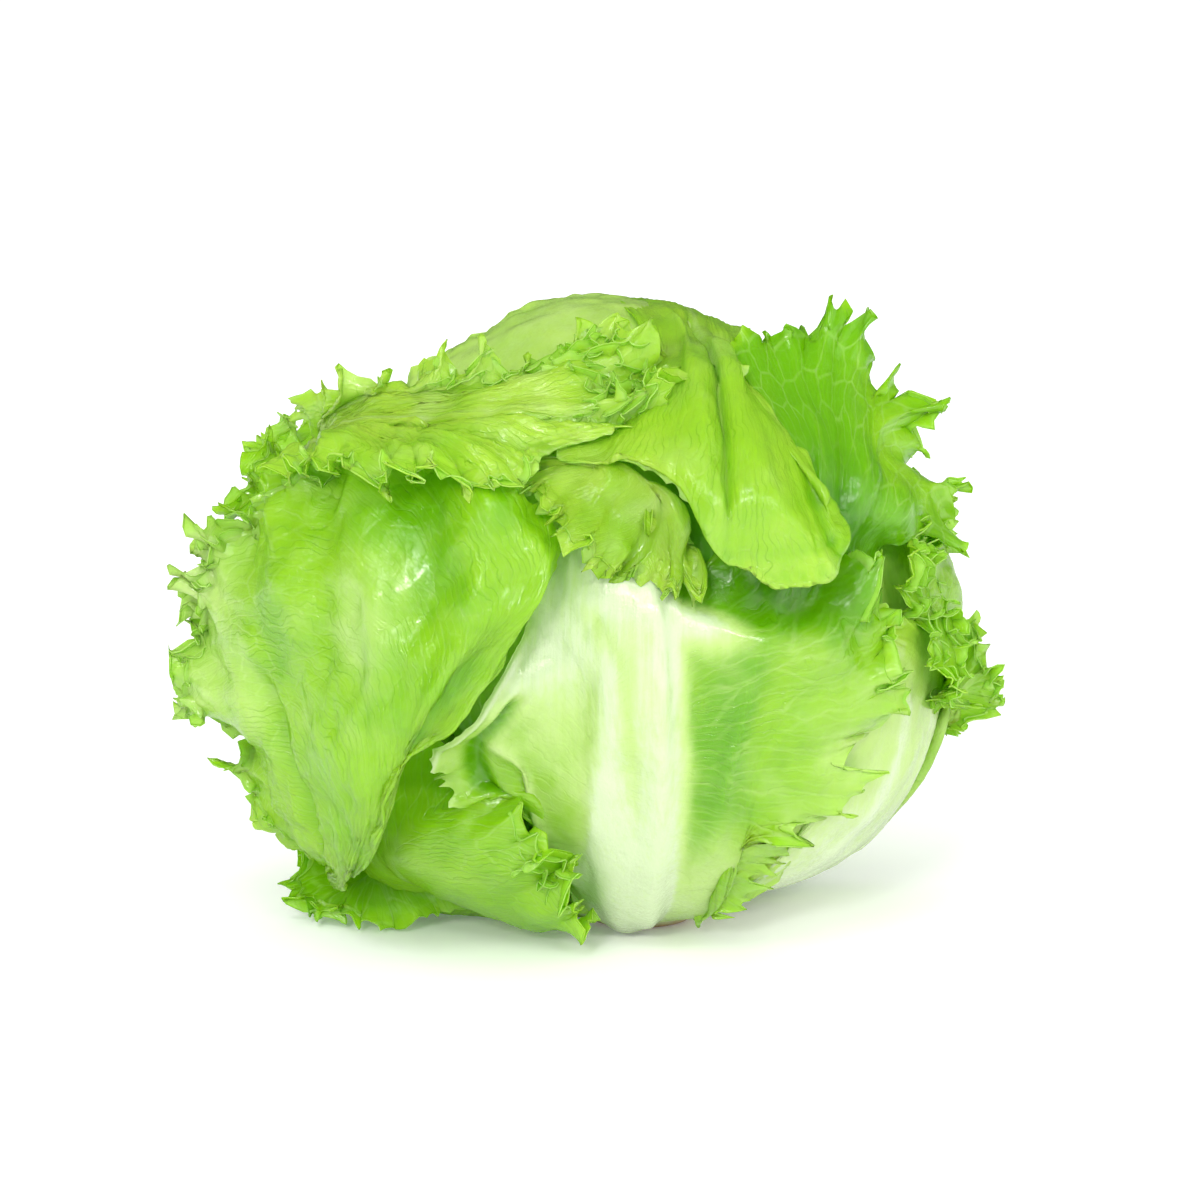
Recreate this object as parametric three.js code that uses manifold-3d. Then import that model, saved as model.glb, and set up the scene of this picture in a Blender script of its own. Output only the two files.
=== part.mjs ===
// A crisphead lettuce with frilled, toothed leaf margins, resting on its cut butt. Millimetres, +Z up.
// The origin is the centre of the cut face. The broad white rib of the front leaf faces -Y.
//
// Every leaf is one thin sheet. It leaves the stem on a short arc, runs through rows of guide points
// and ends in its margin. A guide point is [bearing, rise, standoff]: the bearing round the head in
// degrees from -Y towards +X, the angle of rise above the head's middle, and the distance in
// millimetres outside the heart. Waves and teeth are added to the margin by formula.
import * as THREE from "three";
import { mergeVertices } from "three/addons/utils/BufferGeometryUtils.js";
import Module from "manifold-3d";

// ---------------------------------------------------------------- driving dimensions
const HEART = { centre: [8, 4, 88], radii: [68, 68, 80], lean: 10 };
const BUTT = { cut: 14, waist: 17, bevel: 2.5, shoulderFrom: 9, shoulder: 8, height: 20 };
const GAP = 0.35; // air left between neighbouring pieces
const FLOOR_CLEARANCE = 0.3; // from the floor to the underside of a blade
const BLADE = 1.0; // thickness of a leaf blade
// Teeth of the margin: their pitch, how deep the notches between them are for a full frill, the
// least and the added random share of that depth, and how far in the cut fades out.
const TOOTH = { spacing: 11, depth: 3.4, least: 0.6, added: 0.6, reach: 8 };

// Waves of the margin: length, height at the edge, how far they reach inwards, and how much they
// also sway along the margin. Their spacing wanders by WANDER radians.
const WAVES = [
  { length: 37, height: 3.6, depth: 16, sway: 0.15 },
  { length: 21, height: 2.6, depth: 8, sway: 0.35 },
];

const WANDER = { size: 0.9, rate: 1.9 };

// Folds of the packed heart: how many, their twist from pole to pole in turns, the depth of a step,
// and how far the body stays inside the heart's own ellipsoid.
const FOLDS = { count: 3, twist: 0.35, step: 2.2, inset: 6 };

const DEG = Math.PI / 180;
const wasm = await Module();
wasm.setup();

// ---------------------------------------------------------------- places on and off the heart
// A place is a direction from the heart's middle, in units of the radii, with a standoff.
function offHeart({ unit, standoff }) {
  const [cx, cy, cz] = HEART.centre;
  const [rx, ry, rz] = HEART.radii;
  return new THREE.Vector3(
    cx + (rx + standoff) * unit.x - HEART.lean * unit.z,
    cy + (ry + standoff) * unit.y,
    cz + (rz + standoff) * unit.z,
  );
}

// How far the stem reaches from its axis at a height, above its bevel.
function buttRadius(height) {
  const { waist, shoulder, shoulderFrom, height: top } = BUTT;
  return waist - (waist - shoulder) * Math.max(0, (height - shoulderFrom) / (top - shoulderFrom));
}

function place([bearing, rise, standoff]) {
  const b = bearing * DEG;
  const r = rise * DEG;
  const unit = new THREE.Vector3(Math.sin(b) * Math.cos(r), -Math.cos(b) * Math.cos(r), Math.sin(r));
  return { unit, standoff };
}

// The place of any point, its standoff found by halving between two bounds.
const STANDOFF_BOUNDS = [-60, 200];
const HALVINGS = 40;

function placeOf(point) {
  const [cx, cy, cz] = HEART.centre;
  const [rx, ry, rz] = HEART.radii;
  const unitAt = (s) => {
    const z = (point.z - cz) / (rz + s);
    return new THREE.Vector3((point.x + HEART.lean * z - cx) / (rx + s), (point.y - cy) / (ry + s), z);
  };
  let [low, high] = STANDOFF_BOUNDS;
  for (let i = 0; i < HALVINGS; i++) {
    const s = (low + high) / 2;
    if (unitAt(s).length() > 1) low = s;
    else high = s;
  }
  return { unit: unitAt(low).normalize(), standoff: low };
}

function blend(places, weights) {
  const unit = new THREE.Vector3();
  let standoff = 0;
  for (const [k, w] of weights) {
    unit.addScaledVector(places[k].unit, w);
    standoff += w * places[k].standoff;
  }
  return { unit: unit.normalize(), standoff };
}

// Weights of a smooth curve through `count` values, at t from 0 to 1.
function splineWeights(count, t) {
  const x = Math.min(Math.max(t, 0), 1) * (count - 1);
  const i = Math.min(Math.floor(x), count - 2);
  const f = x - i;
  const cubic = [
    ((2 - f) * f - 1) * f * 0.5,
    ((3 * f - 5) * f * f + 2) * 0.5,
    ((4 - 3 * f) * f + 1) * f * 0.5,
    (f - 1) * f * f * 0.5,
  ];
  const weights = new Map();
  const put = (k, w) => weights.set(k, (weights.get(k) || 0) + w);
  cubic.forEach((w, j) => {
    const k = i - 1 + j;
    if (k < 0) {
      put(0, 2 * w);
      put(1, -w);
    } else if (k > count - 1) {
      put(count - 1, 2 * w);
      put(count - 2, -w);
    } else put(k, w);
  });
  return [...weights];
}

const valueAlong = (values, t) =>
  splineWeights(values.length, t).reduce((sum, [k, w]) => sum + values[k] * w, 0);

// A height bent smoothly away from the floor, so that it never comes under the clearance.
const SETTLE = 2; // square millimetres: how early the bend begins

function settled(z, clearance) {
  const above = z - clearance;
  return clearance + (above + Math.sqrt(above * above + SETTLE)) / 2;
}

// A repeatable number from 0 to 1 for tooth `i` of a leaf.
function toss(i, seed) {
  const x = Math.sin(i * 12.9898 + seed * 78.233) * 43758.5453;
  return x - Math.floor(x);
}

// ---------------------------------------------------------------- the leaf as a sheet
// u runs round the leaf with its guide columns, v from the stem to the margin. A point of the
// finished sheet is named by its share of the margin's length and its distance in from the margin.
const TABLE = { columns: 48, steps: 40, margin: 240 };
const NUDGE = 0.004; // step in u and v for a slope

class Sheet {
  constructor(leaf) {
    this.leaf = leaf;
    const rows = leaf.rows.map((row) => row.map(place));
    const columns = rows[0].length;
    const { bearing, span, height } = leaf.foot;
    const radius = buttRadius(height) + GAP + (BLADE + (leaf.rib ? leaf.rib.thick : 0)) / 2;
    const foot = rows[0].map((_, i) => {
      const b = (bearing + span * (i / (columns - 1) - 0.5)) * DEG;
      return placeOf(new THREE.Vector3(radius * Math.sin(b), -radius * Math.cos(b), height));
    });
    const halfway = foot.map((f, i) => {
      const straight = placeOf(offHeart(f).lerp(offHeart(rows[0][i]), 0.5));
      return { unit: straight.unit, standoff: Math.max(straight.standoff, leaf.hug) };
    });
    this.rows = [foot, halfway, ...rows];
    this.measureMargin();
    this.measureColumns();
  }

  measureMargin() {
    this.run = [0];
    let last = this.base(0, 1);
    for (let i = 1; i <= TABLE.margin; i++) {
      const p = this.base(i / TABLE.margin, 1);
      this.run.push(this.run.at(-1) + p.distanceTo(last));
      last = p;
    }
    this.marginLength = this.run.at(-1);
  }

  // distance in from the margin, for each step of each column of a table
  measureColumns() {
    this.inward = [];
    for (let j = 0; j <= TABLE.columns; j++) {
      const column = [0];
      let last = this.base(j / TABLE.columns, 1);
      for (let k = 1; k <= TABLE.steps; k++) {
        const p = this.base(j / TABLE.columns, 1 - k / TABLE.steps);
        column.push(column.at(-1) + p.distanceTo(last));
        last = p;
      }
      this.inward.push(column);
    }
    this.longest = Math.max(...this.inward.map((column) => column.at(-1)));
  }

  base(u, v) {
    const across = splineWeights(this.rows[0].length, u);
    const column = this.rows.map((row) => blend(row, across));
    return offHeart(blend(column, splineWeights(column.length, v)));
  }

  uAt(share) {
    const wanted = share * this.marginLength;
    let i = 0;
    while (i < this.run.length - 2 && this.run[i + 1] < wanted) i++;
    return (i + (wanted - this.run[i]) / (this.run[i + 1] - this.run[i])) / (this.run.length - 1);
  }

  depthAt(u, k) {
    const x = Math.min(Math.max(u, 0), 1) * TABLE.columns;
    const j = Math.min(Math.floor(x), TABLE.columns - 1);
    return this.inward[j][k] * (1 - (x - j)) + this.inward[j + 1][k] * (x - j);
  }

  vAt(u, inward) {
    let k = 0;
    while (k < TABLE.steps - 1 && this.depthAt(u, k + 1) < inward) k++;
    const [near, far] = [this.depthAt(u, k), this.depthAt(u, k + 1)];
    return 1 - (k + (inward - near) / Math.max(far - near, 1e-6)) / TABLE.steps;
  }

  frillAt(u) {
    const { frill = 1 } = this.leaf;
    return Array.isArray(frill) ? Math.max(0, valueAlong(frill, u)) : frill;
  }

  // `notch` is how deep the margin is cut here, for a full frill
  point(share, inward, notch) {
    const u = this.uAt(share);
    const frill = this.frillAt(u);
    const seed = this.leaf.seed;
    const full = this.depthAt(u, TABLE.steps);
    const depth = Math.min(inward + notch * Math.min(1, frill) * Math.exp(-inward / TOOTH.reach), full);
    const v = this.vAt(u, depth);
    const p = this.base(u, v);
    const slope = (from, to) => this.base(...to).sub(this.base(...from)).normalize();
    const du = slope([Math.max(u - NUDGE, 0), v], [Math.min(u + NUDGE, 1), v]);
    const dv = slope([u, Math.max(v - NUDGE, 0)], [u, Math.min(v + NUDGE, 1)]);
    const normal = new THREE.Vector3().crossVectors(du, dv).normalize();
    const s = share * this.marginLength;
    WAVES.forEach(({ length, height, depth: deep, sway }, k) => {
      const wander = WANDER.size * Math.sin((WANDER.rate * s) / length + seed);
      const phase = (2 * Math.PI * s) / length + seed * (k + 1.7) + wander;
      const size = frill * height * Math.exp(-depth / deep);
      p.addScaledVector(normal, size * Math.sin(phase));
      p.addScaledVector(du, size * sway * Math.sin(2 * phase));
    });
    p.z = settled(p.z, FLOOR_CLEARANCE + this.thickness(share, depth) / 2);
    return p;
  }

  // blade thickness, swelling along the rib towards the stem
  thickness(share, inward) {
    const { rib } = this.leaf;
    if (!rib) return BLADE;
    const u = this.uAt(share);
    const v = this.vAt(u, inward);
    const across = this.base(u, v).distanceTo(this.base(rib.at, v));
    const fade = Math.max(0, 1 - v / rib.end);
    return BLADE + rib.thick * fade * Math.exp(-((across / rib.width) ** 2));
  }
}

// ---------------------------------------------------------------- the leaf as a solid
// Rows of the mesh: three in a band along the margin, the others evenly spaced down to the stem.
// Each has fewer columns than the one outside it, as a share of the margin's own.
const MARGIN_ROWS = [
  { inward: 0, columns: 1 },
  { inward: 6, columns: 0.5 },
  { inward: 14, columns: 0.36 },
];
const BAND = MARGIN_ROWS.at(-1).inward;
const BAND_LIMIT = 0.3; // of a column's length, where the leaf is short
const INNER_ROWS = { spacing: 20, least: 3, columnsOut: 0.28, columnsLost: 0.19 };
const LEAST_COLUMNS = 5;
const LEAST_TEETH = 6;

function rowPlan(sheet) {
  const { spacing, least, columnsOut, columnsLost } = INNER_ROWS;
  const inner = Math.max(least, Math.round((sheet.longest - BAND) / spacing));
  const rest = Array.from({ length: inner }, (_, k) => {
    const part = (k + 1) / inner;
    return { part, columns: columnsOut - columnsLost * part };
  });
  return [...MARGIN_ROWS, ...rest];
}

function meshRow(sheet, { inward, part, columns }, marginCount) {
  const count = Math.max(LEAST_COLUMNS, Math.round(columns * marginCount));
  const { seed, tooth = TOOTH.depth } = sheet.leaf;
  const row = [];
  for (let i = 0; i < count; i++) {
    const share = i / (count - 1);
    const full = sheet.depthAt(sheet.uAt(share), TABLE.steps);
    const band = Math.min(BAND, BAND_LIMIT * full);
    const depth = part === undefined ? (inward / BAND) * band : band + part * (full - band);
    const isNotch = inward === 0 && i % 2 === 0;
    const notch = isNotch ? tooth * (TOOTH.least + TOOTH.added * toss(i, seed)) : 0;
    row.push({ point: sheet.point(share, depth, notch), thick: sheet.thickness(share, depth) });
  }
  return row;
}

// Triangles between two rows of different counts, always moving on along the row that lags behind.
function stitch(outer, inner) {
  const triangles = [];
  let i = 0;
  let j = 0;
  while (i < outer.length - 1 || j < inner.length - 1) {
    const nextOuter = (i + 1) / (outer.length - 1);
    const nextInner = (j + 1) / (inner.length - 1);
    if (j === inner.length - 1 || (i < outer.length - 1 && nextOuter <= nextInner)) {
      triangles.push([outer[i], inner[j], outer[i + 1]]);
      i++;
    } else {
      triangles.push([outer[i], inner[j], inner[j + 1]]);
      j++;
    }
  }
  return triangles;
}

// A closed solid round the sheet: both faces are split alike, and a band closes the edge.
function bladeSolid(leaf, extra = 0) {
  const sheet = new Sheet(leaf);
  const teeth = Math.max(LEAST_TEETH, Math.round(sheet.marginLength / TOOTH.spacing));
  const meshRows = rowPlan(sheet).map((row) => meshRow(sheet, row, 2 * teeth + 1));
  const all = meshRows.flat();
  let next = 0;
  const numbers = meshRows.map((row) => row.map(() => next++));
  const triangles = numbers.slice(1).flatMap((inner, k) => stitch(numbers[k], inner));

  const normals = all.map(() => new THREE.Vector3());
  for (const [a, b, c] of triangles) {
    const [p, q, r] = [a, b, c].map((k) => all[k].point);
    const n = new THREE.Vector3().crossVectors(q.clone().sub(p), r.clone().sub(p));
    for (const k of [a, b, c]) normals[k].add(n);
  }
  const count = all.length;
  const vertices = new Float32Array(count * 6);
  all.forEach(({ point, thick }, k) => {
    const n = normals[k].normalize();
    point.clone().addScaledVector(n, thick / 2 + extra).toArray(vertices, k * 3);
    point.clone().addScaledVector(n, -thick / 2 - extra).toArray(vertices, (count + k) * 3);
  });

  const sides = numbers.slice(1, -1);
  const rim = [
    ...numbers[0],
    ...sides.map((row) => row.at(-1)),
    ...numbers.at(-1).toReversed(),
    ...sides.map((row) => row[0]).toReversed(),
  ];
  const faces = [];
  for (const [a, b, c] of triangles) faces.push(a, b, c, count + a, count + c, count + b);
  rim.forEach((a, i) => {
    const b = rim[(i + 1) % rim.length];
    faces.push(a, b, count + a, b, count + b, count + a);
  });
  return solid(vertices, new Uint32Array(faces));
}

// A manifold solid, turned inside out if its faces point inwards.
function solid(vertProperties, triVerts) {
  const made = new wasm.Manifold(new wasm.Mesh({ numProp: 3, vertProperties, triVerts }));
  if (made.volume() > 0) return made;
  const turned = triVerts.slice();
  for (let i = 0; i < turned.length; i += 3) {
    turned[i + 1] = triVerts[i + 2];
    turned[i + 2] = triVerts[i + 1];
  }
  return new wasm.Manifold(new wasm.Mesh({ numProp: 3, vertProperties, triVerts: turned }));
}

// ---------------------------------------------------------------- the leaves
// A plain cupped leaf, as rows of guide points: its outline is an oval round [bearing, rise] that is
// open towards the stem. It stands off least at its two sides.
function cupped({ bearing, rise, halfWidth, halfHeight, standoff, flare }) {
  const columns = 13;
  const opening = 145; // degrees of the oval on each side of its tip
  const sides = 0.7; // share of the standoff that the sides keep
  const inner = 0.66; // size of the inner row against the margin
  const row = (size, spread) =>
    Array.from({ length: columns }, (_, i) => {
      const turn = opening * ((2 * i) / (columns - 1) - 1) * DEG;
      const top = (1 + Math.cos(turn)) / 2;
      return [
        bearing + size * halfWidth * Math.sin(turn),
        rise + size * halfHeight * Math.cos(turn),
        standoff * (sides + (1 - sides) * top) + spread * top,
      ];
    });
  return [row(inner, 0), row(1, flare)];
}

// Frill of a plain leaf: full round the tip, weak where its sides lie under their neighbours.
const OUTER_FRILL = [0.2, 0.4, 0.8, 1, 1, 1, 0.8, 0.4, 0.2];

// Listed from the heart outwards. `foot` is where a leaf leaves the stem, `hug` its least standoff
// on the way to the first row; `rows` run outwards, the last being the margin. `frill` scales
// the waves and teeth along the margin, `tooth` is another notch depth, `rib` the thick midrib and
// `closed` a pale leaf of the closed head.
const LEAVES = {
  // smooth leaves closed over the crown
  crown_back_leaf: {
    closed: true,
    seed: 1.3,
    frill: 0.25,
    hug: -1,
    foot: { bearing: 180, span: 110, height: 15.8 },
    rows: [
      [[105, -35, 0], [115, 0, 1], [135, 25, 1], [165, 35, 1], [195, 35, 1], [225, 20, 1], [245, -20, 0]],
      [[90, -30, 0], [92, 20, 2], [70, 50, 2], [10, 76, 2], [-80, 66, 3], [-98, 35, 3], [-105, -15, 1]],
    ],
  },
  crown_leaf: {
    closed: true,
    seed: 2.4,
    frill: 0.2,
    hug: 1.8,
    foot: { bearing: 10, span: 120, height: 14 },
    rows: [
      [[-60, -30, 3], [-50, 5, 4], [-30, 28, 5], [0, 38, 5], [30, 30, 4], [52, 5, 3], [60, -25, 3]],
      [[-92, -15, 4], [-91, 34, 18], [-95, 56, 14], [-137, 81, 9], [78, 78, 4], [60, 55, 4], [86, 20, 4]],
    ],
  },
  // the smooth cheek at the right of the head
  right_head_leaf: {
    closed: true,
    seed: 3.7,
    frill: 0.25,
    hug: 6.5,
    foot: { bearing: 60, span: 110, height: 10.6 },
    rows: [
      [
        [30, -52, 6], [30, -35, 6], [38, -18, 7], [52, -10, 7], [66, -8, 8], [84, -10, 8], [98, -20, 8],
        [102, -45, 7],
      ],
      [
        [14, -62, 6], [12, -35, 6], [10, -8, 6], [20, 16, 7], [44, 11, 8], [70, 5, 9], [104, 6, 8],
        [116, -45, 7],
      ],
    ],
  },
  // the broad front leaf: a white rib with a frilled wing on each side
  front_leaf: {
    seed: 4.4,
    frill: [0.5, 0.9, 0.9, 0.9, 0.9, 0.8, 0.3, 0.2, 0.4, 0.6, 1, 1, 1.2, 1.2, 1.2, 1.2, 0.7],
    hug: 10,
    foot: { bearing: -6, span: 110, height: 4.6 },
    rib: { at: 0.46, width: 11, thick: 6, end: 1.05 },
    rows: [
      [
        [-56, -66, 12], [-54, -58, 11], [-40, -44, 10], [-37, -30, 10], [-32, -20, 10], [-26, -14, 10],
        [-20, -6, 10], [-14, 0, 11], [-6, 0, 11], [0, -6, 10], [9, -10, 10], [14, -10, 10],
        [17, -12, 10], [19, -16, 10], [17, -27, 10], [10, -43, 10], [-1, -65, 9],
      ],
      [
        [-58, -62, 14], [-64, -54, 12], [-56, -34, 12], [-51, -22, 20], [-48, -12, 17], [-36, -7, 12],
        [-28, 8, 10], [-22, 19, 9], [-6, 24, 9], [7, 12, 10], [18, 4, 13], [34, 6, 13], [46, 14, 13],
        [52, -10, 12], [47, -27, 11], [32, -49, 10], [6, -65, 9],
      ],
    ],
  },
  // a low leaf under the left wing of the front leaf
  low_left_leaf: {
    seed: 5.2,
    frill: [0.3, 0.8, 1.1, 1.1, 0.8, 0.3, 0.2, 0.2, 0.3, 0.4, 0.4, 0.3],
    hug: 7,
    foot: { bearing: -74, span: 52, height: 3.6 },
    rows: [
      [
        [-50, -58, 20], [-54, -50, 27], [-58, -46, 30], [-61, -42, 33], [-64, -39, 36], [-67, -37, 38],
        [-70, -36, 39], [-73, -35, 39], [-76, -37, 38], [-79, -41, 35], [-82, -46, 31], [-84, -52, 26],
      ],
      [
        [-44, -57, 19], [-44, -49, 25], [-44, -43, 27], [-46, -38, 28], [-50, -33, 31], [-55, -29, 33],
        [-60, -26, 32], [-66, -22, 31], [-72, -21, 31], [-78, -24, 32], [-83, -32, 33], [-86, -44, 28],
      ],
      [
        [-30, -56, 18], [-27, -47, 24], [-33, -43, 24], [-37, -36, 21], [-39, -29, 19], [-42, -22, 18],
        [-47, -14, 17], [-58, -6, 17], [-70, -3, 19], [-82, -6, 22], [-90, -18, 26], [-92, -38, 27],
      ],
    ],
  },
  // smooth-edged hood over the middle of the head, folded like a brow
  brow_leaf: {
    seed: 6.1,
    frill: [0.5, 0.5, 0.3, 0.15, 0.1, 0.1, 0.1, 0.1, 0.1, 0.1, 0.1, 0.1, 0.2, 0.4, 0.5],
    hug: 3.5,
    foot: { bearing: 172, span: 90, height: 13.6 },
    rows: [
      [
        [205, -10, 5], [202, -10, 5], [199, -10, 5], [196, -10, 5], [193, -10, 5], [190, -10, 5],
        [186, -10, 5], [182, -10, 5], [178, -10, 5], [174, -10, 5], [170, -10, 5], [166, -10, 5],
        [162, -10, 5], [158, -10, 5], [154, -10, 5],
      ],
      [
        [203, 52, 7], [199, 53, 7], [195, 54, 7], [190, 54, 7], [185, 54, 7], [180, 54, 7], [175, 54, 7],
        [170, 53, 7], [166, 52, 7], [162, 51, 7], [158, 50, 7], [154, 49, 7], [150, 48, 7], [147, 47, 7],
        [144, 46, 7],
      ],
      [
        [5, 66, 8], [10, 66, 8], [13, 65, 8], [17, 65, 8], [21, 64, 8], [24, 64, 8], [28, 64, 8],
        [31, 63, 7], [34, 62, 7], [36, 61, 6], [38, 60, 6], [40, 59, 6], [43, 59, 5], [44, 59, 5],
        [45, 58, 5],
      ],
      [
        [10, 59, 9], [2, 48, 12], [-6, 40, 16], [-8, 36, 20], [-2, 35, 23], [5, 32, 26], [12, 28, 29],
        [15, 23, 32], [17, 20, 34], [21, 20, 34], [24, 22, 33], [25, 25, 31], [24, 30, 25], [23, 41, 18],
        [24, 54, 12],
      ],
      [
        [0, 60, 8], [-10, 45, 12], [-20, 35, 17], [-18, 31, 22], [-9, 30, 25], [0, 29, 26], [7, 25, 25],
        [11, 17, 22], [15, 13, 22], [23, 12, 22], [32, 17, 22], [35, 24, 22], [32, 31, 18],
        [31, 40, 13], [32, 52, 9],
      ],
    ],
  },
  // the frilled leaf that hangs below the brow at the left
  curtain_leaf: {
    seed: 7.6,
    frill: [0.8, 1, 1.1, 1.1, 1.1, 1.1, 1, 1, 1, 0.8, 0.6],
    hug: 8,
    foot: { bearing: -140, span: 80, height: 12.2 },
    rows: [
      [
        [-100, -8, 12], [-102, -6, 12], [-104, -4, 12], [-106, -2, 12], [-108, 0, 12], [-110, 2, 12],
        [-112, 4, 12], [-114, 6, 12], [-116, 8, 12], [-118, 10, 12], [-120, 12, 12],
      ],
      [
        [-64, 14, 15], [-63, 17, 15], [-62, 20, 15], [-60, 23, 15], [-58, 26, 15], [-56, 28, 15],
        [-54, 30, 15], [-52, 32, 14], [-50, 34, 14], [-48, 36, 13], [-46, 38, 13],
      ],
      [
        [-22, 32, 17], [-19, 32, 18], [-15, 31, 19], [-11, 31, 20], [-7, 31, 20], [-3, 30, 20],
        [0, 28, 20], [3, 27, 19], [6, 26, 17], [8, 25, 15], [10, 24, 13],
      ],
      [
        [-25, 28, 24], [-21, 27, 24], [-17, 25, 23], [-12, 24, 21], [-8, 23, 19], [-3, 21, 17],
        [1, 19, 15], [4, 18, 14], [7, 19, 12], [9, 21, 10], [10, 23, 10],
      ],
      [
        [-29, 25, 31], [-23, 23, 31], [-18, 22, 31], [-16, 18, 29], [-11, 16, 27], [-7, 15, 23],
        [-3, 12, 18], [3, 10, 15], [8, 10, 13], [11, 14, 11], [13, 20, 10],
      ],
    ],
  },
  // the upright fan at the right, its inner face towards -Y
  right_fan_leaf: {
    seed: 8.2,
    frill: [0.4, 0.8, 1, 1, 1, 1, 1, 0.9, 0.6],
    tooth: 5,
    hug: 4,
    foot: { bearing: 42, span: 60, height: 12.3 },
    rows: [
      [
        [19, 6, 4], [24, 7, 5], [29, 9, 5], [34, 10, 5], [38, 11, 5], [42, 12, 6], [46, 13, 6],
        [50, 13, 6], [54, 13, 6],
      ],
      [
        [33, 34, 13], [36, 31, 15], [38, 29, 17], [40, 27, 18], [42, 26, 19], [45, 24, 20],
        [49, 22, 19], [53, 20, 18], [56, 16, 14],
      ],
      [
        [35, 47, 9], [43, 48, 11], [51, 47, 13], [57, 45, 16], [62, 42, 18], [65, 37, 16],
        [66, 32, 15], [66, 24, 15], [66, 16, 15],
      ],
      [
        [41, 62, 8], [57, 63, 15], [69, 59, 21], [78, 54, 27], [82, 47, 28], [84, 38, 25],
        [84, 28, 19], [82, 17, 18], [78, 10, 18],
      ],
    ],
  },
  // the leaf on the right flank, its frilled margin to the front
  right_edge_leaf: {
    seed: 9.4,
    frill: [0.5, 0.9, 1.1, 1.1, 1.1, 1.2, 1, 0.7, 0.7, 0.8, 0.8, 0.6],
    hug: 9,
    foot: { bearing: 96, span: 70, height: 8.6 },
    rows: [
      [
        [82, -46, 9], [80, -36, 10], [79, -26, 12], [78, -16, 13], [78, -8, 14], [80, 0, 14],
        [86, 5, 13], [94, 6, 12], [101, 4, 12], [107, -8, 12], [110, -24, 11], [112, -44, 10],
      ],
      [
        [68, -44, 10], [69, -31, 11], [72, -22, 12], [66, -12, 12], [60, -3, 12], [54, 6, 12],
        [54, 15, 13], [76, 20, 13], [102, 18, 13], [118, 6, 13], [124, -20, 12], [122, -48, 11],
      ],
    ],
  },
  // the small pleated fan low at the right
  right_low_leaf: {
    seed: 10.3,
    frill: [0.3, 0.6, 1, 1, 1, 1, 1, 0.8, 0.4],
    hug: 13,
    foot: { bearing: 108, span: 60, height: 6.4 },
    rows: [
      [
        [112, -30, 15], [110, -24, 16], [106, -20, 17], [103, -18, 17], [99, -19, 17], [96, -22, 16],
        [94, -26, 15], [93, -32, 14], [93, -40, 12],
      ],
      [
        [118, -22, 17], [114, -10, 18], [107, -4, 19], [100, -5, 22], [101, -11, 31], [101, -18, 31],
        [96, -25, 21], [91, -34, 15], [88, -46, 12],
      ],
    ],
  },
  // wrapper leaves round the back
  back_leaf: {
    seed: 11.5,
    frill: OUTER_FRILL,
    hug: 8,
    foot: { bearing: 180, span: 80, height: 11.0 },
    rows: cupped({ bearing: 182, rise: 2, halfWidth: 42, halfHeight: 50, standoff: 12, flare: 6 }),
  },
  back_right_leaf: {
    seed: 12.8,
    frill: OUTER_FRILL,
    hug: 12,
    foot: { bearing: 142, span: 76, height: 6.6 },
    rows: cupped({ bearing: 146, rise: -6, halfWidth: 36, halfHeight: 42, standoff: 20, flare: 10 }),
  },
  left_back_leaf: {
    seed: 13.1,
    frill: OUTER_FRILL,
    hug: 18,
    foot: { bearing: -146, span: 60, height: 7.6 },
    rows: cupped({ bearing: -113, rise: -13, halfWidth: 32, halfHeight: 33, standoff: 31, flare: 28 }),
  },
  back_low_leaf: {
    seed: 14.6,
    frill: OUTER_FRILL,
    hug: 17,
    foot: { bearing: 180, span: 70, height: 4.4 },
    rows: cupped({ bearing: 178, rise: -28, halfWidth: 42, halfHeight: 30, standoff: 29, flare: 12 }),
  },
  // the leaf that lies on the floor at the left
  floor_leaf: {
    seed: 15.9,
    frill: [0.3, 0.4, 0.4, 0.6, 1.1, 1.2, 1.1, 0.9, 0.7],
    hug: 9,
    foot: { bearing: -124, span: 44, height: 3.6 },
    rows: [
      [
        [-73, -50, 27], [-79, -45, 31], [-83, -41, 36], [-87, -39, 40], [-91, -39, 42], [-96, -40, 42],
        [-101, -41, 41], [-106, -43, 39], [-111, -46, 36],
      ],
      [
        [-73, -47, 31], [-74, -45, 38], [-73, -43, 46], [-75, -40, 54], [-80, -37, 62], [-83, -33, 64],
        [-89, -31, 62], [-98, -35, 62], [-109, -41, 50],
      ],
    ],
  },
  // the great outer leaf at the left
  left_wrapper_leaf: {
    seed: 16.2,
    frill: [0.15, 0.15, 0.2, 0.25, 0.3, 0.4, 0.5, 0.8, 1, 1, 0.9, 0.7, 0.4],
    tooth: 4.6,
    hug: 9,
    foot: { bearing: -112, span: 44, height: 8.6 },
    rows: [
      [
        [-90, -34, 47], [-91, -34, 47], [-92, -34, 47], [-93, -34, 47], [-95, -34, 47], [-97, -34, 47],
        [-98, -34, 47], [-100, -34, 47], [-102, -34, 47], [-104, -34, 47], [-105, -34, 47],
        [-106, -34, 47], [-108, -34, 47],
      ],
      [
        [-51, -23, 47], [-51, -23, 48], [-52, -24, 50], [-53, -26, 51], [-55, -26, 52], [-57, -27, 54],
        [-59, -28, 54], [-62, -29, 54], [-66, -29, 53], [-69, -29, 53], [-72, -30, 53], [-76, -30, 54],
        [-78, -30, 54],
      ],
      [
        [-49, -20, 47], [-45, -16, 45], [-39, -11, 41], [-35, -4, 39], [-33, 0, 39], [-40, 1, 43],
        [-49, 0, 47], [-60, -5, 50], [-67, -9, 53], [-73, -13, 55], [-76, -17, 56], [-77, -21, 56],
        [-79, -29, 55],
      ],
      [
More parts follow.
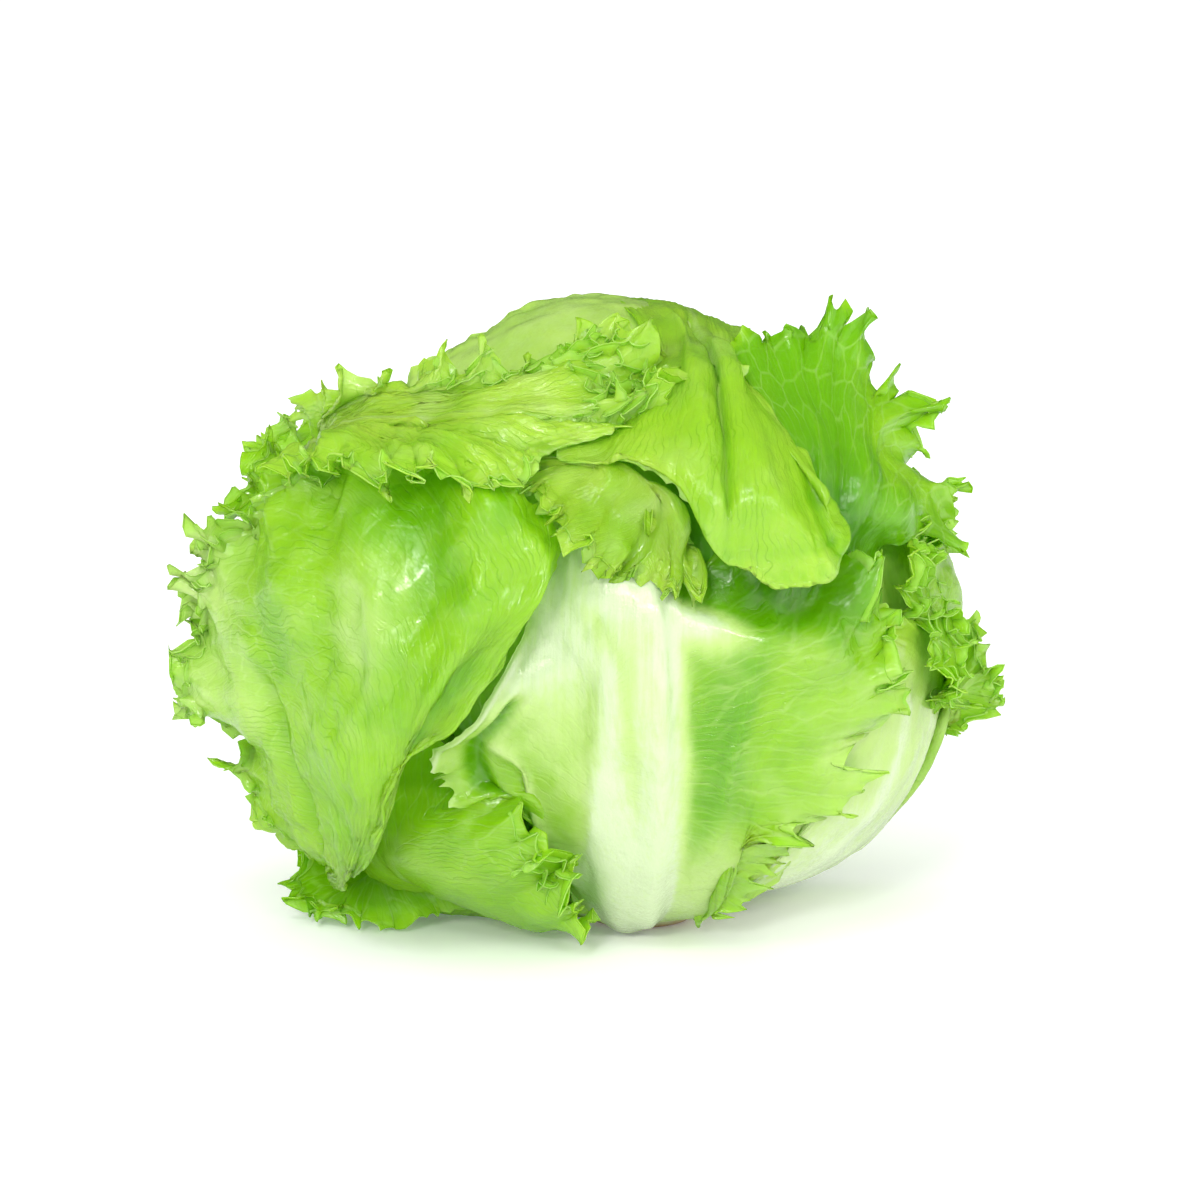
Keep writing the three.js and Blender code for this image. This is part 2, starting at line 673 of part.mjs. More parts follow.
        [-47, -18, 46], [-40, -11, 38], [-30, -1, 29], [-23, 10, 26], [-16, 20, 25], [-35, 24, 33],
        [-58, 21, 42], [-78, 12, 57], [-85, 2, 68], [-86, -8, 72], [-86, -13, 60], [-84, -20, 64],
        [-81, -29, 56],
      ],
    ],
  },
  // the long frilled leaf across the top left, ending in a dense ruffle
  crest_leaf: {
    seed: 17.7,
    frill: [0.6, 0.8, 0.9, 0.9, 0.9, 1, 1.2, 1.2, 1, 0.3, 0.1, 0.4, 0.9, 1, 0.9, 0.6],
    hug: 10,
    foot: { bearing: -112, span: 70, height: 10.4 },
    rows: [
      [
        [-116, 4, 20], [-114, 7, 20], [-112, 10, 20], [-109, 12, 20], [-106, 13, 20], [-103, 14, 20],
        [-100, 14, 20], [-97, 14, 20], [-94, 13, 20], [-91, 12, 20], [-88, 11, 21], [-85, 9, 22],
        [-82, 7, 23], [-79, 5, 24], [-76, 2, 26], [-74, -2, 28],
      ],
      [
        [-106, 12, 28], [-99, 17, 31], [-92, 20, 33], [-86, 23, 34], [-80, 25, 35], [-75, 27, 36],
        [-71, 28, 37], [-68, 28, 38], [-67, 27, 39], [-67, 26, 40], [-69, 25, 40], [-72, 23, 39],
        [-75, 21, 38], [-78, 18, 37], [-80, 13, 36], [-80, 8, 34],
      ],
      [
        [-98, 18, 34], [-86, 25, 36], [-77, 29, 37], [-69, 32, 36], [-61, 34, 35], [-53, 35, 33],
        [-44, 37, 30], [-37, 37, 28], [-37, 35, 30], [-41, 33, 32], [-46, 32, 34], [-52, 30, 37],
        [-58, 29, 39], [-66, 27, 40], [-74, 24, 41], [-80, 17, 39],
      ],
      [
        [-92, 25, 38], [-74, 31, 39], [-60, 35, 36], [-50, 38, 32], [-42, 40, 28], [-33, 43, 24],
        [-20, 46, 21], [-11, 43, 20], [-13, 39, 22], [-20, 36, 27], [-26, 32, 32], [-29, 29, 37],
        [-37, 28, 40], [-47, 28, 42], [-60, 26, 44], [-72, 24, 45],
      ],
      [
        [-96, 24, 42], [-74, 34, 41], [-60, 38, 33], [-49, 42, 28], [-38, 46, 23], [-26, 52, 18],
        [-4, 58, 17], [10, 49, 19], [3, 40, 20], [-11, 35, 22], [-20, 31, 27], [-22, 25, 32],
        [-30, 22, 42], [-40, 21, 47], [-54, 21, 50], [-69, 19, 51],
      ],
    ],
  },
};

// ---------------------------------------------------------------- stem and heart
// The butt is turned: a flat cut face, a waist, and shoulders inside the head.
function buttSolid(extra = 0) {
  const profile = [
    [0, 0],
    [BUTT.cut, 0],
    [BUTT.waist, BUTT.bevel],
    [BUTT.waist, BUTT.shoulderFrom],
    [BUTT.shoulder, BUTT.height],
    [0, BUTT.height + 1],
  ];
  const grown = profile.map(([r, z]) => [r > 0 ? r + extra : 0, z > 0 ? z + extra : -extra]);
  const sides = 20;
  const vertices = [];
  const rings = grown.map(([r, z]) => {
    const ring = { first: vertices.length / 3, count: r > 0 ? sides : 1 };
    for (let i = 0; i < ring.count; i++) {
      const turn = (2 * Math.PI * i) / sides;
      vertices.push(r * Math.cos(turn), r * Math.sin(turn), z);
    }
    return ring;
  });
  const at = (ring, i) => ring.first + (i % ring.count);
  const faces = [];
  for (let k = 1; k < rings.length; k++) {
    const [low, high] = [rings[k - 1], rings[k]];
    for (let i = 0; i < sides; i++) {
      if (low.count > 1) faces.push(at(low, i), at(low, i + 1), at(high, i + 1));
      if (high.count > 1) faces.push(at(low, i), at(high, i + 1), at(high, i));
    }
  }
  return solid(new Float32Array(vertices), new Uint32Array(faces));
}

// The packed heart: a round body on which shallow steps mark the edges of its folded leaves.
function heartSolid() {
  const around = 28;
  const levels = 16;
  const vertices = [];
  const put = (bearing, rise, raised) =>
    vertices.push(...offHeart(place([bearing, rise, raised - FOLDS.inset])).toArray());
  put(0, -90, 0);
  for (let j = 1; j < levels; j++) {
    const rise = 180 * (j / levels - 0.5);
    for (let i = 0; i < around; i++) {
      const turn = FOLDS.count * (i / around + FOLDS.twist * Math.sin(rise * DEG));
      put((360 * i) / around, rise, FOLDS.step * (turn - Math.floor(turn)) * Math.cos(rise * DEG));
    }
  }
  put(0, 90, 0);
  const top = vertices.length / 3 - 1;
  const at = (j, i) => 1 + (j - 1) * around + (i % around);
  const faces = [];
  for (let i = 0; i < around; i++) {
    faces.push(0, at(1, i + 1), at(1, i));
    faces.push(top, at(levels - 1, i), at(levels - 1, i + 1));
    for (let j = 1; j < levels - 1; j++) {
      faces.push(at(j, i), at(j, i + 1), at(j + 1, i + 1));
      faces.push(at(j, i), at(j + 1, i + 1), at(j + 1, i));
    }
  }
  return solid(new Float32Array(vertices), new Uint32Array(faces));
}

// ---------------------------------------------------------------- fitting the pieces together
const FINISH = {
  leaf: { color: 0x8fca3c, roughness: 0.42 },
  pale: { color: 0xb5db6e, roughness: 0.4 },
  butt: { color: 0xe6dfb4, roughness: 0.6 },
};

// The surface of a solid, its vertices welded where they all but meet.
const WELD = 0.001;

function toGeometry(made) {
  const mesh = made.getMesh();
  const positions = new Float32Array(mesh.numVert * 3);
  for (let i = 0; i < mesh.numVert; i++) {
    positions.set(mesh.vertProperties.subarray(i * mesh.numProp, i * mesh.numProp + 3), i * 3);
  }
  const geometry = new THREE.BufferGeometry();
  geometry.setAttribute("position", new THREE.BufferAttribute(positions, 3));
  geometry.setIndex(new THREE.BufferAttribute(new Uint32Array(mesh.triVerts), 1));
  return mergeVertices(geometry, WELD);
}

// The largest body of a cut solid. Crumbs and closed bubbles that a cut leaves are dropped.
function largestBody(made) {
  const { attributes, index } = toGeometry(made);
  const whole = solid(attributes.position.array, new Uint32Array(index.array));
  return whole.decompose().reduce((best, body) => (body.volume() > best.volume() ? body : best));
}

function toMesh(name, made, finish) {
  const material = new THREE.MeshStandardMaterial({ metalness: 0, ...finish });
  const node = new THREE.Mesh(toGeometry(made), material);
  node.name = name;
  return node;
}

// Each piece gives way to the stem and to the leaves outside it, and stays one body.
const lettuce = new THREE.Group();
const buttRoom = buttSolid(GAP);
const rooms = [buttRoom];
const fitted = (made) => largestBody(rooms.reduce((left, room) => left.subtract(room), made));
for (const name of Object.keys(LEAVES).reverse()) {
  const leaf = LEAVES[name];
  const blade = fitted(bladeSolid(leaf));
  lettuce.add(toMesh(name, blade, leaf.closed ? FINISH.pale : FINISH.leaf));
  rooms.push(bladeSolid(leaf, GAP), blade);
}
lettuce.add(toMesh("heart", fitted(heartSolid()), FINISH.pale));
lettuce.add(toMesh("stem", buttSolid(), FINISH.butt));

export default lettuce;
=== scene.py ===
"""A crisphead lettuce: frilled leaves, packed heart and cut stem, dressed over its plain solids.

Leaf shapes are worked out in millimetres and become metres in the meshes. +Z is up, and the front
leaf with its broad white rib faces -Y.
"""

import math

import bpy
import numpy as np
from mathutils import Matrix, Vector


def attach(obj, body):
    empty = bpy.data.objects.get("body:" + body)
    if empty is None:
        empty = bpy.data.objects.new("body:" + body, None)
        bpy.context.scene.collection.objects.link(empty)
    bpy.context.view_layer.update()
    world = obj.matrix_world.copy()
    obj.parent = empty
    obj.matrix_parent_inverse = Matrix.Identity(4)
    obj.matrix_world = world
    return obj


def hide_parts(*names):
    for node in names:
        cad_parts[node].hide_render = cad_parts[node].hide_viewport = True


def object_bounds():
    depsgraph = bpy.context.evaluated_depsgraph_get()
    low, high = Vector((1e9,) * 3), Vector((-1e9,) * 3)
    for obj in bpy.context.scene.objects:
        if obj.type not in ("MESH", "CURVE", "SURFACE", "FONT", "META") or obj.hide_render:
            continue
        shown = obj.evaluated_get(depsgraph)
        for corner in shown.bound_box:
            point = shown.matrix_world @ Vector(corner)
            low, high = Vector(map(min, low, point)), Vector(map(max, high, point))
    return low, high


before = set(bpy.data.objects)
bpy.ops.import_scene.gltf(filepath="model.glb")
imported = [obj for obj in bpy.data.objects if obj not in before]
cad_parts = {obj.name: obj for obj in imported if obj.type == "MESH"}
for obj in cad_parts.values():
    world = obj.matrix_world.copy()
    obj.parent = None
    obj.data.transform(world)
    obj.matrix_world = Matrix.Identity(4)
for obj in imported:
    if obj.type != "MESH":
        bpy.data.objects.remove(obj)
cad_box = [list(corner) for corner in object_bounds()]

bl_info = {
    "name": "Crisphead Lettuce Head",
    "version": (1, 0, 0),
    "blender": (4, 5, 0),
    "location": "View3D > Sidebar > Lettuce",
    "description": "Frilled leaves, heart, stem and stage of a crisphead lettuce",
    "category": "Object",
}

MM = 0.001

# ---------------------------------------------------------------- driving dimensions, millimetres
HEART_CENTRE = np.array([8.0, 4.0, 88.0])
HEART_RADII = np.array([68.0, 68.0, 80.0])
HEART_LEAN = 10.0
BUTT = {"waist": 17, "shoulder_from": 9, "shoulder": 8, "height": 20}  # reach of the stem, by height
GAP = 0.35  # air left between neighbouring pieces
SOLID_BLADE = 1.0  # thickness of a blade's plain solid
FLOOR_CLEARANCE = 0.4
BOX_MARGIN = 0.3  # how far the dressed leaves stay inside the box of the solids
BOX_BEND = 0.5  # square millimetres: how early they bend away from it

# Lobes, teeth and small serrations of the margin: their mean pitch, how deep the notches between them
# are for a full frill, and how square the notches are.
TEETH = [
    {"spacing": 22.0, "depth": 3.0, "squareness": 1.5},
    {"spacing": 5.2, "depth": 4.2, "squareness": 2.1},
    {"spacing": 2.3, "depth": 0.75, "squareness": 1.6},
]
TOOTH_GAP = (0.35, 1.65)  # least and greatest gap between two tips, against the mean
TOOTH_SIZE = (0.35, 1.35)  # least and greatest depth of a notch, against the usual
TOOTH_LEAN = (0.6, 1.6)  # powers of the place in a gap, which lean its notch to one side or the other
TOOTH_WIDEST = 1.2  # a gap wider than this, against the mean, has no deeper notch
TOOTH_REACH = 5.5  # how far in the cuts fade out
TOOTH_TAPER = 1.3  # least reach of a notch, as a share of its depth

# Waves of the margin: length, height at the edge, how far they reach inwards, and how much they
# also sway along the margin. The first two are those of the plain solids.
WAVES = [
    {"length": 37, "height": 3.6, "depth": 16, "sway": 0.15},
    {"length": 21, "height": 2.6, "depth": 8, "sway": 0.35},
]
CURLS = [
    {"length": 14.0, "height": 6.0, "depth": 7.5, "sway": 0.4},
    {"length": 6.4, "height": 2.5, "depth": 3.6, "sway": 0.45},
]
WANDER = {"size": 0.9, "rate": 1.9}  # how the phase of a wave drifts along the margin
LULL = {"share": 0.38, "length": 2.3}  # how much curls come and go, and over how many of their lengths
FLARE_DEPTH = 7.0  # how far in a margin bends outwards
ROLL_LENGTH = 15.0  # width of the band that a rolled margin takes up
STRAIGHT = 1e-4  # radians to the millimetre, the least that such a band turns
GROWTH = {"height": 2.2, "depth": 9.0}  # the margin reaches out, to make up for its teeth

# A ruffle swings to and fro across its own strip, and by the share `sideways` along it, with a drift in
# the phase and smaller curls on top. Both grow towards its edge, by the powers of its height. `sink` is
# how deep its foot stands in the leaf, `base` how far in the leaf's direction is taken, `pitch` the
# distance between its columns, and `calm` how far from its two ends it lies down.
RUFFLE = {
    "length": 8.6, "swing": 3.3, "swing_power": 1.2, "sideways": 0.55, "drift": 1.1, "drift_length": 7.3,
    "curl_length": 3.9, "curl": 1.1, "curl_power": 2, "curl_sideways": 0.4,
    "rows": 9, "sink": 1.0, "base": 3.0, "pitch": 0.55, "calm": 8.0,
}
# Its lean sways by these degrees over these lengths, and its height by a share. The cuts in its edge
# are the margin's, read at other places: shallower, and never deeper than a share of its height.
RUFFLE_SWAY = [{"degrees": 22, "length": 9}, {"degrees": 10, "length": 4.1}]
RUFFLE_HEIGHT = {"mean": 0.75, "sway": 0.3, "length": 6.1}
RUFFLE_CUTS = {"share": 0.8, "deepest": 0.7, "stretch": 1.37, "shift": 0.1}

# Blisters between the veins: their length across and along them, and the size and seed of the noise
# that bends them. Lumps and slow swellings lie over them.
BLISTERS = [{"length": 8, "bend_size": 17, "seed": 3}, {"length": 10, "bend_size": 13, "seed": 5}]
BLISTER_BEND = 1.5
BLISTER_HEIGHT = 0.7  # against the leaf's `pucker`
BLISTER_LEVEL = 0.4  # the share of a blister's height that is taken off the whole surface
BLISTER_START = (0.12, 0.45)  # the v between which they grow to their full height
LUMPS = [{"size": 13, "share": 0.9, "seed": 9}, {"size": 6, "share": 0.3, "seed": 7}]
SWELL_SIZE = 34


# ---------------------------------------------------------------- places on and off the heart
# A place is a direction from the heart's middle, in units of its radii, and a standoff from it.
STANDOFFS = (-60.0, 200.0)  # the range that is searched for a point's standoff
HALVINGS = 40


def places(guides):
    """Places of [bearing, rise, standoff]: the direction (sin b cos r, -cos b cos r, sin r), and then
    the standoff."""
    guides = np.asarray(guides, float)
    bearing, rise = np.radians(guides[..., 0]), np.radians(guides[..., 1])
    level = np.cos(rise)
    return np.stack(
        [np.sin(bearing) * level, -np.cos(bearing) * level, np.sin(rise), guides[..., 2]], -1
    )


def off_heart(placed):
    """Points of places: centre + (radii + standoff) * direction, leant towards -X as they rise."""
    points = HEART_CENTRE + (HEART_RADII + placed[..., 3:]) * placed[..., :3]
    points[..., 0] -= HEART_LEAN * placed[..., 2]
    return points


def places_of(points):
    """Places of points: the standoff at which the direction has unit length, found by halving."""
    low, high = (np.full(points.shape[:-1], end) for end in STANDOFFS)

    def direction(standoff):
        z = (points[..., 2] - HEART_CENTRE[2]) / (HEART_RADII[2] + standoff)
        x = (points[..., 0] + HEART_LEAN * z - HEART_CENTRE[0]) / (HEART_RADII[0] + standoff)
        y = (points[..., 1] - HEART_CENTRE[1]) / (HEART_RADII[1] + standoff)
        return np.stack([x, y, z], -1)

    for _ in range(HALVINGS):
        middle = (low + high) / 2
        outside = np.linalg.norm(direction(middle), axis=-1) > 1
        low, high = np.where(outside, middle, low), np.where(outside, high, middle)
    return np.concatenate([unit(direction(low)), low[..., None]], -1)


def unit(vectors):
    """Vectors brought to unit length."""
    return vectors / np.maximum(np.linalg.norm(vectors, axis=-1, keepdims=True), 1e-9)


def blend(weights, placed):
    """Weighted sums of places, their directions brought back to unit length."""
    mixed = weights @ placed
    mixed[..., :3] = unit(mixed[..., :3])
    return mixed


def spline_weights(count, t):
    """Weights of a Catmull-Rom curve through `count` values at t from 0 to 1, its ends reflected."""
    x = np.clip(t, 0, 1) * (count - 1)
    first = np.minimum(np.floor(x), count - 2).astype(int)
    f = x - first
    cubic = [((2 - f) * f - 1) * f, (3 * f - 5) * f * f + 2, ((4 - 3 * f) * f + 1) * f, (f - 1) * f * f]
    padded = np.zeros((*np.shape(x), count + 2))
    for k, weight in enumerate(cubic):
        np.put_along_axis(padded, (first + k)[..., None], weight[..., None] / 2, -1)
    weights = padded[..., 1:-1].copy()
    weights[..., 0] += 2 * padded[..., 0]
    weights[..., 1] -= padded[..., 0]
    weights[..., -1] += 2 * padded[..., -1]
    weights[..., -2] -= padded[..., -1]
    return weights


def value_along(values, t):
    """A smooth curve through evenly spaced values, or the one value given."""
    if np.ndim(values) == 0:
        return np.full(np.shape(t), float(values))
    return spline_weights(len(values), t) @ np.asarray(values, float)


def butt_radius(height):
    """The stem's reach from its axis: its waist, then a straight run in to its shoulder."""
    share = max(0, (height - BUTT["shoulder_from"]) / (BUTT["height"] - BUTT["shoulder_from"]))
    return BUTT["waist"] - (BUTT["waist"] - BUTT["shoulder"]) * share


def toss(i, seed, low, high):
    """A repeatable number from low to high for item i: low + (high - low) * the fraction of a large
    sine."""
    x = np.sin(np.asarray(i) * 12.9898 + seed * 78.233) * 43758.5453
    return low + (high - low) * (x - np.floor(x))


def smoothstep(low, high, x):
    """3t^2 - 2t^3, where t runs from 0 at low to 1 at high."""
    t = np.clip((x - low) / (high - low), 0, 1)
    return t * t * (3 - 2 * t)


def lumps(points, size, seed):
    """Soft noise from about -1 to 1: the mean of ten sines along seeded directions, `size` long."""
    draw = np.random.default_rng(int(seed * 10))
    directions = unit(draw.normal(size=(10, 3)))
    lengths = size * draw.uniform(0.7, 1.4, 10)
    phases = draw.uniform(0, 2 * math.pi, 10)
    waves = np.sin(points @ (2 * math.pi * directions / lengths[:, None]).T + phases)
    return waves.sum(-1) / math.sqrt(10) * 0.8


# A leaf's width at the stem, as a share of that at its margin, for what is spaced across it.
FOOT_WIDTH = {"line": 0.25, "vein": 0.35, "rib": 0.2}


def width_at(v, foot):
    """A leaf's width at v, as a share of that at its margin: from `foot` at the stem evenly up to 1."""
    return foot + (1 - foot) * v


# ---------------------------------------------------------------- the leaf as a sheet
# u runs round the leaf with its guide columns, v from the stem to the margin. A point of the
# finished sheet is named by its share of the margin's length and its distance in from the margin.
TABLE = {"columns": 48, "steps": 40, "margin": 240}
NUDGE = 0.004  # step in u and v for a slope
HUB_REACH = 60.0  # from a hub of veins to where their spacing is as given
VEIN_SLANT = 1.3  # how steeply side veins leave the midrib
VEIN_RUN = 0.25  # how much of a side vein's length is along the midrib
FAN_WIDTH = 0.85  # width over which a fan's veins are spaced, as a share of the margin


class Sheet:
    """A leaf's middle surface: guide rows blended across by u and along by v, then waved."""

    def __init__(self, leaf, shape):
        self.leaf, self.shape = leaf, shape
        self.midrib = leaf.get("rib", {"at": leaf.get("midrib", 0.5)})["at"]
        rows = [places(row) for row in leaf["rows"]]
        foot = leaf["foot"]
        across = np.linspace(-0.5, 0.5, len(rows[0]))
        bearing = np.radians(foot["bearing"] + foot["span"] * across)
        thick = SOLID_BLADE + leaf.get("rib", {"thick": 0})["thick"]
        radius = butt_radius(foot["height"]) + GAP + thick / 2
        height = np.full(len(bearing), float(foot["height"]))
        start = np.stack([radius * np.sin(bearing), -radius * np.cos(bearing), height], -1)
        foot_places = places_of(start)
        halfway = places_of((start + off_heart(rows[0])) / 2)
        halfway[:, 3] = np.maximum(halfway[:, 3], leaf["hug"])
        self.rows = [foot_places, halfway, *rows]
        self.measure()

    def measure(self):
        """Running length of the margin, and distance in from it for a table of columns."""
        u = np.linspace(0, 1, TABLE["margin"] + 1)
        margin = self.base(u, np.ones((len(u), 1)))[:, 0]
        self.run = np.concatenate([[0], np.cumsum(np.linalg.norm(np.diff(margin, axis=0), axis=1))])
        self.margin_length = self.run[-1]
        u = np.linspace(0, 1, TABLE["columns"] + 1)
        v = np.broadcast_to(np.linspace(1, 0, TABLE["steps"] + 1), (len(u), TABLE["steps"] + 1))
        steps = np.linalg.norm(np.diff(self.base(u, v), axis=1), axis=2)
        self.inward = np.concatenate([np.zeros((len(u), 1)), np.cumsum(steps, axis=1)], axis=1)
        self.longest = self.inward[:, -1].max()

    def base(self, u, v):
        """Points at u, one for each column, and v, one row of values for each column."""
        across = spline_weights(len(self.rows[0]), u)
        columns = np.stack([blend(across, row) for row in self.rows], 1)
        return off_heart(blend(spline_weights(len(self.rows), v), columns))

    def u_at(self, share):
        """u at a share of the margin's length."""
        return np.interp(share * self.margin_length, self.run, np.linspace(0, 1, len(self.run)))

    def depths(self, u):
        """Distance in from the margin at each table step, for columns at u."""
        x = np.clip(u, 0, 1) * TABLE["columns"]
        first = np.minimum(x.astype(int), TABLE["columns"] - 1)
        part = (x - first)[:, None]
        return self.inward[first] * (1 - part) + self.inward[first + 1] * part

    def v_at(self, depths, depth):
        """v at a distance in from the margin, read backwards from the table of each column."""
        step = (depths[:, None, 1:-1] < depth[..., None]).sum(-1)
        near = np.take_along_axis(depths, step, 1)
        far = np.take_along_axis(depths, step + 1, 1)
        part = (depth - near) / np.maximum(far - near, 1e-6)
        return 1 - (step + part) / TABLE["steps"]

    def notches(self, share):
        """Depth of the cuts in the margin: for each kind of tooth, 1 - |2x - 1|^squareness across each
        uneven gap, leaning to one side or the other."""
        total = 0 * share
        for k, teeth in enumerate(TEETH):
            seed = self.tooth_seed(k)
            tips = self.tips(k)
            count = len(tips) - 1
            gap = np.clip(np.searchsorted(tips, share, side="right") - 1, 0, count - 1)
            wide = tips[gap + 1] - tips[gap]
            x = np.clip((share - tips[gap]) / wide, 0, 1) ** toss(gap, seed + 0.61, *TOOTH_LEAN)
            size = toss(gap, seed + 0.37, *TOOTH_SIZE) * np.minimum(TOOTH_WIDEST, wide * count)
            total = total + teeth["depth"] * size * (1 - np.abs(2 * x - 1) ** teeth["squareness"])
        return total * value_along(self.leaf.get("tooth", 1.0), self.u_at(share)) * self.shape.tooth

    def tooth_seed(self, k):
        """The seed of one kind of tooth."""
        return self.leaf["seed"] + 0.7 * k

    def tips(self, k):
        """Places of the tips of one kind of tooth along the margin, from 0 to 1, unevenly spaced."""
        count = max(4, round(self.margin_length / TEETH[k]["spacing"]))
        gaps = toss(np.arange(count), self.tooth_seed(k), *TOOTH_GAP)
        ends = np.concatenate([[0], np.cumsum(gaps)])
        return ends / ends[-1]

    def columns(self, count):
        """Evenly spaced shares of the margin's length, the nearest one moved onto each middling tip."""
        share = np.linspace(0, 1, count)
        tips = self.tips(1)
        share[np.rint(tips * (count - 1)).astype(int)] = tips
        return share

    def surface(self, share, inward, fine=True):
        """Points of the finished sheet, with u, v and the distance in from the margin: the blended rows,
        with teeth cut into their margin, then waved, grown, rolled and flared, with ridges and blisters.
        If it isn't `fine`, it has no teeth, curls or blisters."""
        leaf = self.leaf
        u = self.u_at(share)
        depths = self.depths(u)
        frill = np.maximum(0, value_along(leaf.get("frill", 1), u))[:, None]
        notch = (self.notches(share) if fine else 0 * share)[:, None] * np.minimum(1, frill)
        reach = np.maximum(TOOTH_REACH, TOOTH_TAPER * notch)
        depth = np.minimum(inward + notch * np.exp(-inward / reach), depths[:, -1:])
        v = self.v_at(depths, depth)
        plain = self.base(u, v)
        along, outward, normal = self.directions(u, v)

        curl = np.maximum(0, value_along(leaf.get("curl", 1), u))[:, None] * frill * fine
        rise, sway = self.waves(share, inward, frill, curl)
        growth, bulge = self.rolled(u, inward)
        growth = growth + frill * GROWTH["height"] * np.exp(-inward / GROWTH["depth"])
        bulge = bulge + value_along(leaf.get("flare", 0), u)[:, None] * np.exp(-inward / FLARE_DEPTH)
        for line in leaf.get("ridges", ()):
            bulge = bulge + line["rise"] * self.bell(line, u[:, None] + 0 * v, v)
        rise = rise + self.facing() * bulge
        if fine:
            rise = rise + self.puckers(plain, u[:, None], v)
        points = plain + sway[..., None] * along + growth[..., None] * outward + rise[..., None] * normal
        return {"points": points, "u": u[:, None] + 0 * v, "v": v, "depth": depth}

    def directions(self, u, v):
        """Unit vectors along the margin, outwards from the stem and across both."""
        along = unit(self.base(np.minimum(u + NUDGE, 1), v) - self.base(np.maximum(u - NUDGE, 0), v))
        outward = self.base(u, np.minimum(v + NUDGE, 1)) - self.base(u, np.maximum(v - NUDGE, 0))
        return along, unit(outward), unit(np.cross(along, outward))

    def waves(self, share, inward, frill, curl):
        """How far waves and curls move points along the normal and along the margin: the sums of
        size * sin(phase) and of size * sway * sin(2 * phase). Their sizes fade inwards."""
        seed, s = self.leaf["seed"], (share * self.margin_length)[:, None]
        rise = sway = 0 * inward
        for k, wave in enumerate([*WAVES, *CURLS]):
            length = wave["length"]
            wander = WANDER["size"] * np.sin(WANDER["rate"] * s / length + seed)
            phase = 2 * math.pi * s / length + seed * (k + 1.7) + wander
            strength = frill
            if k >= len(WAVES):
                lull = LULL["share"] * (1 - np.sin(s / (LULL["length"] * length) + 2 * seed + k))
                strength = curl * (1 - lull) * self.shape.curl
            size = strength * wave["height"] * np.exp(-inward / wave["depth"])
            rise = rise + size * np.sin(phase)
            sway = sway + size * wave["sway"] * np.sin(2 * phase)
        return rise, sway

    def rolled(self, u, inward):
        """How far a rolled margin moves points outwards and to the leaf's outer side: its band becomes
        an arc, so sin(turn) / rate less its length, and (1 - cos(turn)) / rate."""
        rate = np.radians(value_along(self.leaf.get("roll", 0), u))[:, None] / ROLL_LENGTH
        rate = np.where(np.abs(rate) < STRAIGHT, STRAIGHT, rate)
        beyond = np.maximum(0, ROLL_LENGTH - inward)
        return np.sin(rate * beyond) / rate - beyond, (1 - np.cos(rate * beyond)) / rate

    def ruffle(self, start, end, inward, height, tilt):
        """Rows of points of a frill that stands on the leaf `inward` millimetres from the margin, from
        its foot to its edge, between two values of u. It leans from the leaf's outward direction towards
        its outer side by the tilt in degrees, and swings to and fro more and more towards its edge."""
        seed = self.leaf["seed"] + 3.3 * start + inward
        ends = np.interp([start, end], np.linspace(0, 1, len(self.run)), self.run) / self.margin_length
        columns = round((ends[1] - ends[0]) * self.margin_length / RUFFLE["pitch"])
        share = np.linspace(*ends, columns + 1)
        s = share * self.margin_length
        two_rows = np.full((columns + 1, 2), inward) + np.array([0, RUFFLE["base"]])
        plain = self.surface(share, two_rows, fine=False)["points"]
        foot = self.surface(share, two_rows[:, :1])["points"][:, 0]
        outward = unit(plain[:, 0] - plain[:, 1])
        along = unit(np.gradient(plain[:, 0], axis=0))
        normal = unit(np.cross(along, outward)) * self.facing()
        for k, sway in enumerate(RUFFLE_SWAY, 1):
            tilt = tilt + sway["degrees"] * np.sin(s / sway["length"] + k * seed)
        lean = np.radians(tilt)[:, None]
        up = np.cos(lean) * outward + np.sin(lean) * normal
        aside = np.cos(lean) * normal - np.sin(lean) * outward

        t = np.linspace(0, 1, RUFFLE["rows"])[:, None]
        drift = RUFFLE["drift"] * np.sin(s / RUFFLE["drift_length"] + seed)
        turn = 2 * math.pi * s / RUFFLE["length"] + seed + drift
        curl_turn = 2 * math.pi * s / RUFFLE["curl_length"] + 2 * seed + np.sin(s / 5.1)
        calm = smoothstep(0, RUFFLE["calm"], s - s[0]) * smoothstep(0, RUFFLE["calm"], s[-1] - s)
        sway = np.sin(s / RUFFLE_HEIGHT["length"] + 3 * seed)
        size = RUFFLE_HEIGHT["mean"] + RUFFLE_HEIGHT["sway"] * sway
        elsewhere = np.mod(share * RUFFLE_CUTS["stretch"] + RUFFLE_CUTS["shift"], 1)
        cut = self.notches(elsewhere) / height * RUFFLE_CUTS["share"]
        cut = np.minimum(RUFFLE_CUTS["deepest"], cut)
        reach = height * calm * size * (1 - cut)
        swing = RUFFLE["swing"] * calm * size * t ** RUFFLE["swing_power"]
        small = RUFFLE["curl"] * calm * t ** RUFFLE["curl_power"]
        points = foot + (reach * t - RUFFLE["sink"] * (1 - t))[..., None] * up
        points = points + (swing * np.sin(turn) + small * np.sin(curl_turn))[..., None] * aside
        shift = RUFFLE["sideways"] * swing * np.sin(2 * turn)
        shift = shift + RUFFLE["curl_sideways"] * small * np.cos(curl_turn)
        points = points + shift[..., None] * along
        u = self.u_at(share) + 0 * t
        return {"points": points, "u": u, "v": 0.9 + 0.1 * t + 0 * u, "depth": reach * (1 - t)}

